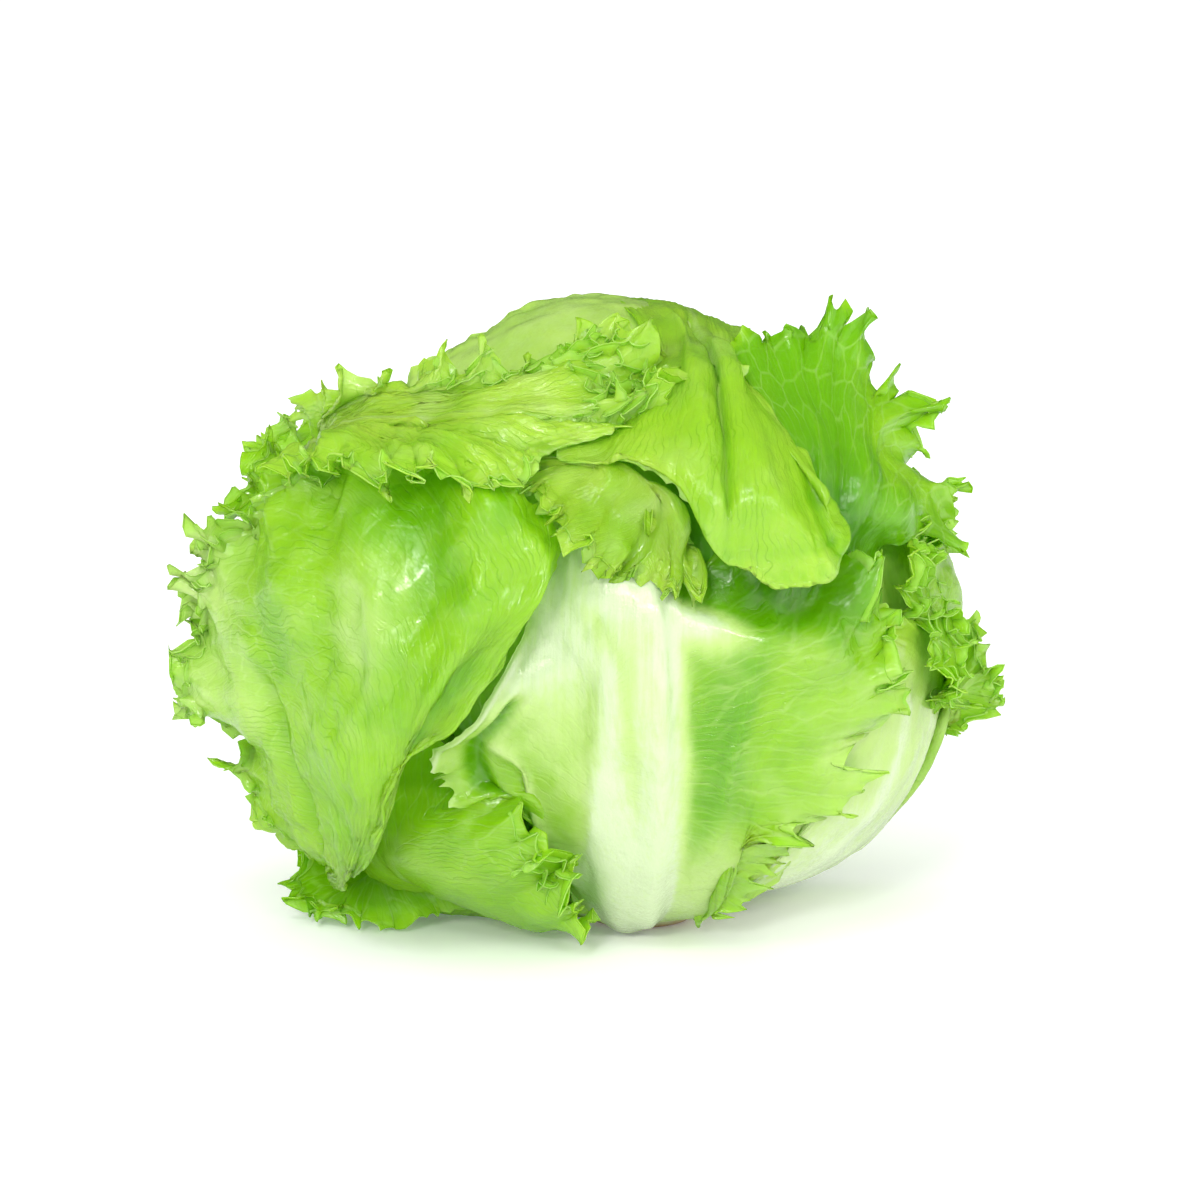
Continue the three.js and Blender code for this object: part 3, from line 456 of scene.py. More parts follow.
    def bell(self, line, u, v):
        """1 on a ridge's line, exp(-|d / width|^power) at d millimetres to either side of it, fading out
        over the last parts of its span."""
        low, high = line["span"]
        if line["runs_round"]:
            run, aside = u, (v - value_along(line["at"], (u - low) / (high - low))) * self.longest
        else:
            run, aside = v, u - value_along(line["at"], (v - low) / (high - low))
            aside = aside * self.margin_length * width_at(v, FOOT_WIDTH["line"])
        width = np.where(aside < 0, *line["widths"])
        fade = RIDGE_FADE * (high - low)
        ends = smoothstep(low - fade, low + fade, run) * (1 - smoothstep(high - fade, high + fade, run))
        return ends * np.exp(-(np.abs(aside / width) ** line["power"]))

    def facing(self):
        """1 where the sheet's own normal points away from the heart, else -1."""
        p = self.base(np.array([0.5, 0.52]), np.array([[0.6, 0.62], [0.6, 0.62]]))
        normal = np.cross(p[1, 0] - p[0, 0], p[0, 1] - p[0, 0])
        return 1.0 if normal @ (p[0, 0] - HEART_CENTRE) > 0 else -1.0

    def veins(self, points, u, v):
        """Two lengths in millimetres: across the veins and along them. In a leaf with "fan" the veins
        all run out from the stem. In one with "hubs" they run out, seen from -Y, from a place [x, z]
        for each side of the midrib. In the others they leave the midrib slanted, so the first length
        is v less a share of the distance from the midrib."""
        if "hubs" in self.leaf:
            right = u > self.midrib
            (left_x, left_z), (right_x, right_z) = self.leaf["hubs"]
            run = np.where(right, points[..., 0] - right_x, left_x - points[..., 0])
            rise = points[..., 2] - np.where(right, right_z, left_z)
            return HUB_REACH * np.arctan2(rise, run), np.hypot(run, rise)
        if self.leaf.get("fan"):
            return (u - 0.5) * self.margin_length * FAN_WIDTH, v * self.longest
        aside = np.abs(u - self.midrib)
        across = (v - self.leaf.get("slant", VEIN_SLANT) * aside) * self.longest
        along = aside * self.margin_length * width_at(v, FOOT_WIDTH["vein"]) + VEIN_RUN * v * self.longest
        return across, along

    def puckers(self, plain, u, v):
        """Blisters between the veins: |sin| domes in vein lengths, bent by noise, on slow swells and
        small lumps."""
        seed = self.leaf["seed"]
        domes = 1
        for run, blister in zip(self.veins(plain, u, v), BLISTERS):
            bend = BLISTER_BEND * lumps(plain, blister["bend_size"], seed + blister["seed"])
            domes = domes * np.abs(np.sin(math.pi * run / blister["length"] + bend))
        height = self.leaf.get("pucker", 0.5) * self.shape.pucker
        rise = height * BLISTER_HEIGHT * (domes - BLISTER_LEVEL) * self.facing()
        rise = rise + self.leaf.get("swell", 0.8) * lumps(plain, SWELL_SIZE, seed)
        for lump in LUMPS:
            rise = rise + height * lump["share"] * lumps(plain, lump["size"], seed + lump["seed"])
        return smoothstep(*BLISTER_START, v) * rise


# ---------------------------------------------------------------- the leaves
RIDGE_FADE = 0.12  # share of its span over which a ridge fades out at each end


def ridge(span, at, widths, rise=0.0, pale=0.0, lush=0.0, power=1.6, runs_round=False):
    """A ridge or, with a rise below 0, a furrow. Its line has evenly spaced values of u from the first
    to the last v of its span or, if it runs round the leaf, values of v against u. Its widths are to the
    side of lower and of higher values. It may also be paler or lusher than the leaf round it: deeper
    green and less paleness along a furrow or a band turned from the light are painted shade."""
    return {
        "span": span, "at": at, "widths": widths, "rise": rise, "pale": pale, "lush": lush,
        "power": power, "runs_round": runs_round,
    }


def even(first, last, count):
    """Evenly spaced places from the first to the last."""
    return np.linspace(first, last, count).tolist()


def cupped(bearing, rise, half_width, half_height, standoff, flare):
    """Guide rows of a plain cupped leaf: an oval round [bearing, rise], open towards the stem, that
    stands off least at its two sides."""
    columns, opening, sides, inner = 13, 145, 0.7, 0.66
    turn = np.radians(opening * np.linspace(-1, 1, columns))
    top = (1 + np.cos(turn)) / 2

    def row(size, spread):
        bearings = bearing + size * half_width * np.sin(turn)
        rises = rise + size * half_height * np.cos(turn)
        standoffs = standoff * (sides + (1 - sides) * top) + spread * top
        return np.stack([bearings, rises, standoffs], -1)

    return [row(inner, 0), row(1, flare)]


# Frill of a plain leaf: full round the tip, weak where its sides lie under their neighbours.
OUTER_FRILL = [0.2, 0.4, 0.8, 1, 1, 1, 0.8, 0.4, 0.2]

# Listed from the heart outwards. `foot` is where a leaf leaves the stem, `hug` its least standoff on
# the way to the first row; `rows` run outwards, the last being the margin. Lists without brackets
# inside them run along the margin: `frill` scales its waves and teeth, `tooth` the teeth again and
# `curl` the small curls, `flare` is how many millimetres the margin bends away from the heart, and
# `roll` how many degrees it turns that way. `pucker` and `swell` are the heights of blisters and of
# slow swellings. `hubs` are the places [x, z] that the veins of the two sides run out from, and
# `slant` is how steeply they leave the midrib. `pale` and the deep-green value say how white and how
# deep green the tissue is, the green from 0 to 2, and `base_pale` and `rib_pale` are what the foot and
# the midrib add. Above 1 the green is painted shade, and some patches and ridges paint shade, others
# highlights, through these values. A patch of tone is [u, v, width, height, paler, lusher], a patch of
# `veiny` [u, v, width, height, amount], and a ruffle [first u, last u, distance from the margin,
# height, tilt in degrees].
LEAVES = {
    # smooth leaves closed over the crown
    "crown_back_leaf": {
        "closed": True, "seed": 1.3, "lush": 0.15, "pale": 0.2, "base_pale": 0, "frill": 0.25, "hug": -1,
        "foot": {"bearing": 180, "span": 110, "height": 15.8},
        "rows": [
            [
                [105, -35, 0], [115, 0, 1], [135, 25, 1], [165, 35, 1], [195, 35, 1], [225, 20, 1],
                [245, -20, 0],
            ],
            [
                [90, -30, 0], [92, 20, 2], [70, 50, 2], [10, 76, 2], [-80, 66, 3], [-98, 35, 3],
                [-105, -15, 1],
            ],
        ],
    },
    "crown_leaf": {
        "closed": True, "seed": 2.4,
        # This patch is painted shade: the darkest green, in the hollow under the brow.
        "patches": [[0.6, 0.58, 0.16, 0.16, -0.4, 2.0]],
        "lush": 0.15, "pale": 0.25, "base_pale": 0, "fan": True, "frill": 0.2, "hug": 1.8,
        "foot": {"bearing": 10, "span": 120, "height": 14},
        "rows": [
            [[-60, -30, 3], [-50, 5, 4], [-30, 28, 5], [0, 38, 5], [30, 30, 4], [52, 5, 3], [60, -25, 3]],
            [
                [-92, -15, 4], [-91, 34, 18], [-95, 56, 14], [-137, 81, 9], [78, 78, 4], [60, 55, 4],
                [86, 20, 4],
            ],
        ],
    },
    # the smooth cheek at the right of the head
    "right_head_leaf": {
        "closed": True, "seed": 3.7,
        # This patch is painted shade: a dark green hollow beside the fan.
        "patches": [[0.38, 0.98, 0.14, 0.1, -1.0, 1.6]],
        "lush": 0.1, "base_pale": 0.85, "pale_reach": 0.95, "frill": 0.25, "hug": 6.5,
        "foot": {"bearing": 60, "span": 110, "height": 10.6},
        "rows": [
            [
                [30, -52, 6], [30, -35, 6], [38, -18, 7], [52, -10, 7], [66, -8, 8], [84, -10, 8],
                [98, -20, 8], [102, -45, 7],
            ],
            [
                [14, -62, 6], [12, -35, 6], [12, -12, 6], [22, 5, 7], [44, 4, 8], [70, 4, 9], [104, 6, 8],
                [116, -45, 7],
            ],
        ],
    },
    # the broad front leaf: a white rib with a frilled wing on each side
    "front_leaf": {
        "seed": 4.4,
        "ruffles": [[0.68, 0.82, 1.5, 6, 50]],
        "pucker": 0.35,
        "veiny": [[0.66, 0.66, 0.07, 0.3, 0.35], [0.8, 0.8, 0.1, 0.3, 0.15], [0.28, 0.7, 0.06, 0.2, 0.2]],
        "hubs": [[25, 25], [-35, 62]],
        "tooth": [0.5, 0.4, 1.6, 2.0, 0.6, 0.3, 0.3, 1, 1, 1, 1, 1.4, 1.7, 2.0, 2.3, 2.3, 1.8],
        "lush": 0.48, "pale": 0.05, "base_pale": 0.45,
        # The patches at [0.57, 0.84] and [0.62, 0.86] paint a highlight on the lip of the right wing.
        "patches": [
            [0.36, 0.92, 0.07, 0.13, 0.7, 0], [0.4, 0.77, 0.06, 0.16, 0.5, 0],
            [0.42, 0.55, 0.04, 0.15, 0.3, 0], [0.43, 0.17, 0.13, 0.16, 0.6, 0],
            [0.645, 0.64, 0.04, 0.22, -0.1, 0.5], [0.33, 0.66, 0.07, 0.2, 0.45, 0],
            [0.7, 0.62, 0.18, 0.28, 0, 0.28], [0.72, 0.3, 0.12, 0.15, 0.3, 0],
            [0.22, 0.9, 0.05, 0.12, 0.3, 0], [0.85, 0.95, 0.15, 0.2, 0.2, -0.2],
            [0.57, 0.84, 0.05, 0.06, 0.8, -0.3], [0.62, 0.86, 0.05, 0.04, 0.4, -0.2],
        ],
        "ridges": [
            ridge((0.05, 0.86), [0.595, 0.585, 0.57, 0.54, 0.52], (15, 3.2), rise=4.2, power=1.5),
            ridge((0.0, 1.04), [0.595, 0.585, 0.57, 0.54, 0.49], (33, 6.5), pale=0.8, power=3),
            # Painted shade: the rib's furrow is less pale along its crease.
            ridge((0.3, 0.8), [0.54, 0.51, 0.475, 0.44], (3.5, 3.5), rise=-0.4, pale=-0.18),
            ridge((0.2, 0.82), [0.308, 0.285, 0.255, 0.24, 0.254], (4, 5), rise=2.6, pale=0.4),
            ridge(
                (0.1, 0.36), [0.975, 0.975, 0.975, 0.98], (2.5, 3),
                rise=1.5, pale=0.5, power=2, runs_round=True,
            ),
            # Painted shade: the hollow inside the rolled tip of the left wing is deeper green and less
            # pale.
            ridge(
                (0.15, 0.33), [0.84, 0.84, 0.84, 0.86], (6, 5.5),
                rise=-4, pale=-0.4, lush=0.8, power=2.5, runs_round=True,
            ),
            ridge((0.35, 0.84), [0.7, 0.68, 0.665, 0.655], (9, 9), rise=1.6),
            # The lip of the right wing is a little paler here, a painted highlight.
            ridge(
                (0.53, 0.77), [0.85, 0.84, 0.84, 0.87], (12, 3),
                rise=3.2, pale=0.1, power=2, runs_round=True,
            ),
            # Painted shade: the bowl above the lip, under the brow, is dark green and far less pale.
            ridge(
                (0.53, 0.77), [1.0, 0.99, 0.98, 1.0], (20, 9),
                rise=-2.5, pale=-0.9, lush=0.9, power=6, runs_round=True,
            ),
        ],
        "flare": [0, 0, 0, 1, 1, 1, 0, 0, 0, -2, -2, 0, 1, 1, 0, 0, 0],
        "curl": [0.3, 0.2, 0.2, 0.4, 0.2, 0.1, 0.1, 0.1, 0.2, 0.3, 0.6, 0.9, 0.8, 0.5, 0.5, 0.5, 0.4],
        "frill": [0.5, 0.4, 0.5, 0.6, 0.3, 0.2, 0.2, 0.2, 0.4, 0.6, 0.8, 0.8, 0.9, 0.9, 0.9, 0.9, 0.7],
        "hug": 10,
        "foot": {"bearing": -6, "span": 110, "height": 4.6},
        "rib": {"at": 0.46, "width": 11, "thick": 6, "end": 1.05},
        "rows": [
            [
                [-56, -66, 12], [-42, -52, 11], [-36, -31, 11], [-37, -25, 12], [-36, -18, 12],
                [-29, -12, 11], [-20, -6, 10], [-14, 0, 11], [-6, 0, 11], [0, -6, 10], [9, -10, 10],
                [14, -10, 10], [17, -12, 10], [19, -16, 10], [17, -27, 10], [10, -43, 10], [-1, -65, 9],
            ],
            [
                [-58, -62, 14], [-38, -38, 12], [-42, -25, 16], [-51, -23, 26], [-45, -14, 28],
                [-36, -8, 22], [-30, 2, 12], [-22, 19, 9], [-6, 24, 9], [7, 20, 9], [18, 19, 8],
                [34, 17, 10], [45, 15, 13], [49, -10, 12], [43, -27, 11], [29, -47, 10], [6, -65, 9],
            ],
        ],
    },
    # a low leaf under the left wing of the front leaf
    "low_left_leaf": {
        "seed": 5.2,
        "veiny": [[0.4, 0.9, 0.3, 0.2, 0.3]],
        "ruffles": [[0.1, 0.42, 4, 6.5, 70], [0.16, 0.34, 10, 6, 60]],
        "tissue": "outer", "lush": 0.5, "pale": 0, "base_pale": 0.3,
        "frill": [0.3, 0.8, 1.1, 1.1, 0.8, 0.3, 0.2, 0.2, 0.3, 0.4, 0.4, 0.3],
        "hug": 7,
        "foot": {"bearing": -74, "span": 52, "height": 3.6},
        "rows": [
            [
                [-50, -58, 20], [-54, -50, 27], [-58, -46, 30], [-61, -42, 33], [-64, -39, 36],
                [-67, -37, 38], [-70, -36, 39], [-73, -35, 39], [-76, -37, 40], [-79, -41, 40],
                [-82, -46, 38], [-84, -52, 32],
            ],
            [
                [-44, -57, 19], [-44, -49, 25], [-44, -43, 27], [-46, -38, 28], [-50, -33, 31],
                [-55, -29, 33], [-60, -26, 32], [-66, -22, 33], [-72, -21, 37], [-78, -26, 41],
                [-82, -34, 43], [-84, -44, 36],
            ],
            [
                [-34, -55, 18], [-29, -47, 22], [-28, -41, 20], [-30, -34, 18], [-33, -28, 16],
                [-40, -25, 13], [-50, -23, 13], [-60, -16, 14], [-70, -12, 22], [-80, -12, 34],
                [-86, -26, 42], [-88, -40, 38],
            ],
        ],
    },
    # smooth-edged hood over the middle of the head, folded like a brow
    "brow_leaf": {
        "seed": 6.1, "pucker": 0.6,
        "roll": [0, 0, 0, 0, 0, 0, -30, -90, -130, -150, -140, -90, -20, 0, 0],
        "flare": [0, 0, 0, 0, 0, -1, -2, -1, 0, 0, 0, -1, 0, 0, 0],
        # The deeper green of its furrows is painted shade in their creases.
        "ridges": [
            ridge((0.8, 1.0), [0.47, 0.48, 0.51, 0.55], (1.1, 1.1), rise=-0.8, lush=0.2),
            ridge((0.79, 1.0), [0.575, 0.57, 0.59, 0.64], (1.1, 1.1), rise=-0.8, lush=0.2),
            ridge((0.79, 1.0), [0.71, 0.70, 0.68, 0.69], (1.1, 1.1), rise=-0.8, lush=0.2),
            ridge((0.66, 1.2), [0.55, 0.61, 0.65, 0.66], (19, 22), rise=6.0, power=2),
            ridge(
                (0.48, 0.8), [0.9, 0.885, 0.88, 0.9], (1.8, 1.8),
                rise=-0.9, lush=0.25, runs_round=True,
            ),
            ridge(
                (0.52, 0.82), [0.86, 0.85, 0.84, 0.87], (1.8, 1.8),
                rise=-0.9, lush=0.25, runs_round=True,
            ),
            ridge(
                (0.56, 0.84), [0.82, 0.81, 0.8, 0.84], (1.8, 1.8),
                rise=-0.8, lush=0.2, runs_round=True,
            ),
            ridge((0.62, 0.86), [0.25, 0.36, 0.44, 0.5], (5, 9), rise=2.6),
            ridge((0.62, 0.95), [0.45, 0.5, 0.53, 0.54], (5, 4), rise=-2.6, lush=0.3),
            ridge((0.78, 1.0), [0.76, 0.75, 0.74, 0.73], (4, 5), rise=-2.0, lush=0.35),
            ridge((0.78, 1.0), [0.64, 0.64, 0.64, 0.64], (5, 5), rise=1.2),
        ],
        "tissue": "hood", "fan": True, "lush": 0.35, "pale": 0.12, "base_pale": 0.0,
        "frill": [0.5, 0.5, 0.3, 0.15, 0.1, 0.1, 0.1, 0.1, 0.1, 0.1, 0.1, 0.1, 0.2, 0.4, 0.5],
        "hug": 3.5,
        "foot": {"bearing": 172, "span": 90, "height": 13.6},
        "rows": [
            [*even([205, -10, 5], [190, -10, 5], 6), *even([186, -10, 5], [154, -10, 5], 9)],
            [
                [203, 52, 7], [199, 53, 7], [195, 54, 7], [190, 54, 7], [185, 54, 7], [180, 54, 7],
                [175, 54, 7], [170, 53, 7], [166, 52, 7], [162, 51, 7], [158, 50, 7], [154, 49, 7],
                [150, 48, 7], [147, 47, 7], [144, 46, 7],
            ],
            [
                [5, 66, 8], [10, 66, 8], [13, 65, 8], [17, 65, 8], [21, 64, 8], [24, 64, 8], [28, 64, 8],
                [31, 63, 7], [34, 62, 7], [36, 61, 6], [38, 60, 6], [40, 59, 6], [43, 59, 5], [44, 59, 5],
                [45, 58, 5],
            ],
            [
                [10, 59, 9], [2, 48, 12], [-6, 40, 16], [-8, 36, 20], [-5, 35, 23], [0, 33, 26],
                [5, 29, 30], [9, 20, 32], [12, 17, 34], [17, 16, 35], [24, 17, 34], [29, 21, 31],
                [27, 31, 25], [22, 41, 18], [24, 54, 12],
            ],
            [
                [0, 60, 8], [-10, 45, 12], [-20, 35, 17], [-18, 31, 22], [-11, 31, 25], [-4, 30, 26],
                [2, 25, 28], [5, 16, 30], [10, 11, 31], [20, 10, 31], [32, 13, 30], [38, 21, 26],
                [35, 32, 18], [30, 41, 13], [32, 52, 9],
            ],
        ],
    },
    # the frilled leaf that hangs below the brow at the left
    "curtain_leaf": {
        "seed": 7.6,
        "tooth": [1, 1, 1, 1, 1, 1.3, 1.6, 2.0, 2.0, 1.8, 1.3],
        "ruffles": [[0.02, 0.9, 3, 6, 50], [0.5, 1.0, 1.5, 7, 40]],
        # The deeper green of its furrows is painted shade in their creases.
        "ridges": [
            ridge((0.62, 1.0), [0.30, 0.30, 0.29, 0.28], (3, 5), rise=-1.3, lush=0.2),
            ridge((0.62, 1.0), [0.42, 0.42, 0.42, 0.43], (3, 5), rise=-1.3, lush=0.2),
            ridge((0.62, 1.0), [0.55, 0.56, 0.57, 0.58], (5, 3), rise=-1.0, lush=0.2),
            ridge((0.62, 1.0), [0.68, 0.68, 0.69, 0.69], (5, 3), rise=-1.0, lush=0.2),
            ridge((0.62, 1.0), [0.36, 0.36, 0.355, 0.35], (4, 4), rise=1.0),
            ridge((0.62, 1.0), [0.49, 0.49, 0.5, 0.5], (4, 4), rise=1.0),
        ],
        "flare": [0, 1, 3, 4, 4, 4, 4, 3, 2, 1, 0],
        "tissue": "outer", "lush": 0.15, "pale": 0.06, "base_pale": 0.1,
        "frill": [0.8, 1, 1.1, 1.1, 1.1, 1.1, 1.1, 1.1, 1.1, 1.0, 0.8],
        "hug": 8,
        "foot": {"bearing": -140, "span": 80, "height": 12.2},
        "rows": [
            even([-100, -8, 12], [-120, 12, 12], 11),
            [
                [-64, 14, 15], [-63, 17, 15], [-62, 20, 15], [-60, 23, 15], [-58, 26, 15], [-56, 28, 15],
                [-54, 30, 15], [-52, 32, 14], [-50, 34, 14], [-48, 36, 13], [-46, 38, 13],
            ],
            [
                [-22, 32, 17], [-19, 32, 18], [-15, 31, 19], [-11, 31, 20], [-7, 31, 20], [-4, 30, 20],
                [-2, 28, 20], [0, 27, 19], [1, 26, 17], [2, 25, 15], [3, 25, 13],
            ],
            [
                [-25, 28, 24], [-21, 27, 24], [-17, 25, 23], [-12, 24, 21], [-8, 23, 19], [-3, 21, 17],
                [0, 19, 15], [3, 17, 14], [4, 18, 12], [3, 21, 10], [3, 24, 10],
            ],
            [
                [-29, 25, 31], [-23, 23, 31], [-18, 22, 31], [-16, 18, 29], [-11, 16, 27], [-7, 15, 23],
                [-3, 12, 18], [3, 10, 15], [8, 10, 13], [8, 14, 11], [4, 21, 10],
            ],
        ],
    },
    # the upright fan at the right, its inner face towards -Y
    "right_fan_leaf": {
        "seed": 8.2,
        # The second patch is painted shade: deeper green and less pale at the fan's foot, in the hollow
        # under the brow.
        "patches": [[0.75, 0.8, 0.2, 0.25, 0.1, -0.5], [0.5, 0.5, 0.6, 0.16, -0.4, 0.7]],
        "ruffles": [[0.62, 0.97, 3, 6, 60]],
        "ridges": [
            ridge((0.55, 1.0), [0.22, 0.22, 0.23, 0.25], (4, 4), rise=1.6),
            ridge((0.55, 1.0), [0.4, 0.4, 0.41, 0.42], (4, 5), rise=-1.8),
            ridge((0.55, 1.0), [0.56, 0.57, 0.58, 0.6], (4, 4), rise=1.8),
            ridge((0.55, 1.0), [0.72, 0.73, 0.75, 0.76], (4, 5), rise=-1.6),
        ],
        "tissue": "fan", "fan": True, "lush": 1.0, "pale": 0, "base_pale": 0.1,
        "frill": [0.4, 0.8, 1, 1, 1, 1, 1, 0.9, 0.6],
        "tooth": [1.4, 1.6, 2.2, 2.2, 2.0, 1.8, 1.6, 1.4, 1.2],
        "hug": 4,
        "foot": {"bearing": 42, "span": 60, "height": 12.3},
        "rows": [
            [
                [19, 6, 4], [24, 7, 5], [29, 9, 5], [34, 10, 5], [38, 11, 5], [42, 12, 6], [46, 13, 6],
                [50, 13, 6], [54, 13, 6],
            ],
            [
                [33, 34, 13], [36, 31, 15], [38, 29, 17], [40, 27, 18], [42, 26, 19], [45, 24, 20],
                [49, 22, 19], [53, 20, 18], [56, 16, 14],
            ],
            [
                [35, 47, 9], [43, 48, 11], [51, 47, 13], [57, 45, 16], [62, 42, 18], [65, 37, 16],
                [66, 32, 15], [66, 24, 15], [66, 16, 15],
            ],
            [
                [41, 62, 8], [57, 63, 15], [69, 59, 21], [78, 54, 27], [82, 47, 28], [84, 38, 25],
                [84, 28, 19], [82, 17, 18], [78, 10, 18],
            ],
        ],
    },
    # the leaf on the right flank, its frilled margin to the front
    "right_edge_leaf": {
        "seed": 9.4,
        # This patch paints light: paler and less green where the low band faces down, away from the
        # lights.
        "patches": [[0.1, 0.5, 0.25, 0.3, 0.6, -0.4]],
        "veiny": [[0.4, 0.9, 0.3, 0.2, 0.5]],
        "ruffles": [
            [0.15, 0.62, 3, 6.5, 60], [0.2, 0.66, 9, 6.5, 60], [0.25, 0.7, 16, 6.5, 70],
            [0.3, 0.7, 24, 6.5, 60],
        ],
        "tissue": "outer", "lush": 0.45, "pale": 0, "base_pale": 0.9,
        "frill": [0.5, 0.9, 1.1, 1.1, 1.1, 1.2, 1, 0.7, 0.7, 0.8, 0.8, 0.6],
        "hug": 8,
        "foot": {"bearing": 124, "span": 52, "height": 8.6},
        "rows": [
            [
                [118, -46, 8.4], [114, -36, 8.6], [101, -26, 9.2], [94, -15, 10], [88, -7, 12],
                [84, 1, 13.5], [86, 5, 13], [94, 6, 12], [101, 4, 12], [107, -8, 12], [110, -24, 11],
                [112, -44, 10],
            ],
            [
                [118, -44, 8.6], [112, -31, 9], [94, -19, 10.5], [66, -12, 12], [60, -3, 12], [54, 6, 12],
                [54, 15, 13], [76, 20, 13], [102, 18, 13], [118, 6, 13], [124, -20, 12], [122, -48, 11],
            ],
        ],
    },
    # the small pleated fan low at the right
    "right_low_leaf": {
        "seed": 10.3,
        "patches": [[0.1, 0.4, 0.5, 0.3, 0.6, -0.4]],
        "veiny": [[0.5, 0.9, 0.3, 0.3, 0.5]],
        "ruffles": [[0.2, 0.8, 3, 5.5, 60]],
        "fan": True, "lush": 0.45, "pale": 0.15,
        "frill": [0.3, 0.6, 1, 1, 1, 1, 1, 0.8, 0.4],
        "hug": 13,
        "foot": {"bearing": 128, "span": -30, "height": 6.4},
        "rows": [
            [
                [112, -30, 15], [110, -24, 16], [106, -20, 17], [103, -18, 17], [103, -19, 17],
                [107, -22, 16], [114, -26, 15], [122, -32, 14], [128, -40, 12],
            ],
            [
                [118, -22, 17], [114, -10, 18], [107, -4, 19], [100, -5, 22], [101, -11, 31],
                [101, -18, 31], [110, -26, 17], [122, -34, 15], [128, -46, 12],
            ],
        ],
    },
    # wrapper leaves round the back
    "back_leaf": {
        "seed": 11.5, "tissue": "outer", "lush": 0.55, "frill": OUTER_FRILL, "hug": 8,
        "foot": {"bearing": 180, "span": 80, "height": 11.0},
        "rows": cupped(bearing=182, rise=2, half_width=42, half_height=50, standoff=12, flare=6),
    },
    "back_right_leaf": {
        "seed": 12.8, "tissue": "outer", "lush": 0.55, "frill": OUTER_FRILL, "hug": 12,
        "foot": {"bearing": 142, "span": 76, "height": 6.6},
        "rows": cupped(bearing=155, rise=-6, half_width=30, half_height=42, standoff=19, flare=9),
    },
    "left_back_leaf": {
        "seed": 13.1,
        "ruffles": [[0.3, 0.8, 4, 6, 60]],
        "tissue": "outer", "lush": 0.55, "frill": OUTER_FRILL, "hug": 18,
        "foot": {"bearing": -146, "span": 60, "height": 7.6},
        "rows": cupped(bearing=-113, rise=-13, half_width=32, half_height=33, standoff=31, flare=28),
    },
    "back_low_leaf": {
        "seed": 14.6, "tissue": "outer", "lush": 0.55, "frill": OUTER_FRILL, "hug": 17,
        "foot": {"bearing": 180, "span": 70, "height": 4.4},
        "rows": cupped(bearing=178, rise=-28, half_width=42, half_height=30, standoff=29, flare=12),
    },
    # the leaf that lies on the floor at the left
    "floor_leaf": {
        "seed": 15.9,
        "veiny": [[0.5, 0.95, 0.3, 0.2, 0.5]],
        "ruffles": [[0.4, 0.85, 4, 6.5, 50]],
        "tissue": "outer", "fan": True, "lush": 0.85, "pale": 0, "base_pale": 0.2,
        "frill": [0.3, 0.4, 0.4, 0.6, 1.1, 1.2, 1.1, 0.9, 0.7],
        "hug": 9,
        "foot": {"bearing": -124, "span": 44, "height": 3.6},
        "rows": [
            [
                [-73, -47, 28], [-79, -41, 32], [-83, -37, 37], [-87, -37, 40], [-91, -39, 42],
                [-96, -40, 42], [-101, -41, 41], [-106, -43, 39], [-111, -46, 36],
            ],
            [
                [-73, -47, 31], [-74, -45, 38], [-73, -43, 46], [-75, -40, 54], [-80, -37, 62],
                [-83, -33, 64], [-89, -31, 62], [-98, -35, 62], [-109, -41, 50],
            ],
        ],
    },
    # the great outer leaf at the left
    "left_wrapper_leaf": {
        "seed": 16.2,
        # The paler patches at [0.47, 0.82] and [0.63, 0.96] paint sheen; the lusher ones paint shade in
        # hollows, the one at [0.43, 0.93] the shadow under the crest.
        "patches": [
            [0.7, 0.9, 0.12, 0.14, 0.3, -0.15], [0.42, 0.86, 0.12, 0.14, 0, 0.15],
            [0.43, 0.93, 0.03, 0.06, -0.1, 0.2], [0.25, 0.8, 0.06, 0.1, -0.1, 0.35],
            [0.47, 0.82, 0.05, 0.07, 0.3, 0], [0.6, 0.85, 0.05, 0.05, -0.1, 0.35],
            [0.63, 0.96, 0.04, 0.05, 0.3, 0],
        ],
        "veiny": [[0.66, 0.97, 0.09, 0.16, 0.9], [0.85, 0.9, 0.1, 0.25, 0.8]],
        "ruffles": [
            [0.56, 0.95, 4, 6.5, 60], [0.6, 0.8, 11, 6, 75], [0.5, 0.72, 8, 6, 50],
            [0.84, 0.98, 9, 6, 60],
        ],
        "pucker": 0.8, "swell": 2.2,
        "flare": [0, -1, -4, -6, -4, -2, -1, 0, 2, 2, 0, 0, 0],
        # The deeper green of its furrows is painted shade in their creases.
        "ridges": [
            ridge((0.55, 0.86), [0.86, 0.75, 0.685, 0.645], (6, 7), rise=-5, lush=0.3),
            ridge((0.13, 0.42), [0.86, 0.92, 0.95, 0.96, 0.965], (9, 3), rise=3.2, runs_round=True),
            # Painted shade along the right margin, which curls in, away from the light.
            ridge((0.12, 0.42), [1.0, 1.0, 1.0, 1.0, 1.0], (7, 3), lush=0.6, runs_round=True),
            ridge((0.78, 1.0), [0.45, 0.47, 0.485, 0.49], (9, 5), rise=2.4, pale=0.06),
            ridge((0.82, 1.0), [0.40, 0.41, 0.425, 0.44], (6, 8), rise=-3.0, lush=0.1),
            ridge((0.76, 0.97), [0.57, 0.56, 0.555, 0.55], (6, 8), rise=1.8, pale=0.05),
            ridge((0.82, 0.97), [0.53, 0.52, 0.52, 0.52], (6, 6), rise=-1.8, lush=0.15),
            ridge((0.75, 0.99), [0.34, 0.35, 0.37, 0.385], (7, 5), rise=2.4),
        ],
        "curl": [0, 0, 0, 0.1, 0.2, 0.3, 0.7, 1.5, 1.6, 1.6, 1.4, 0.9, 0.3],
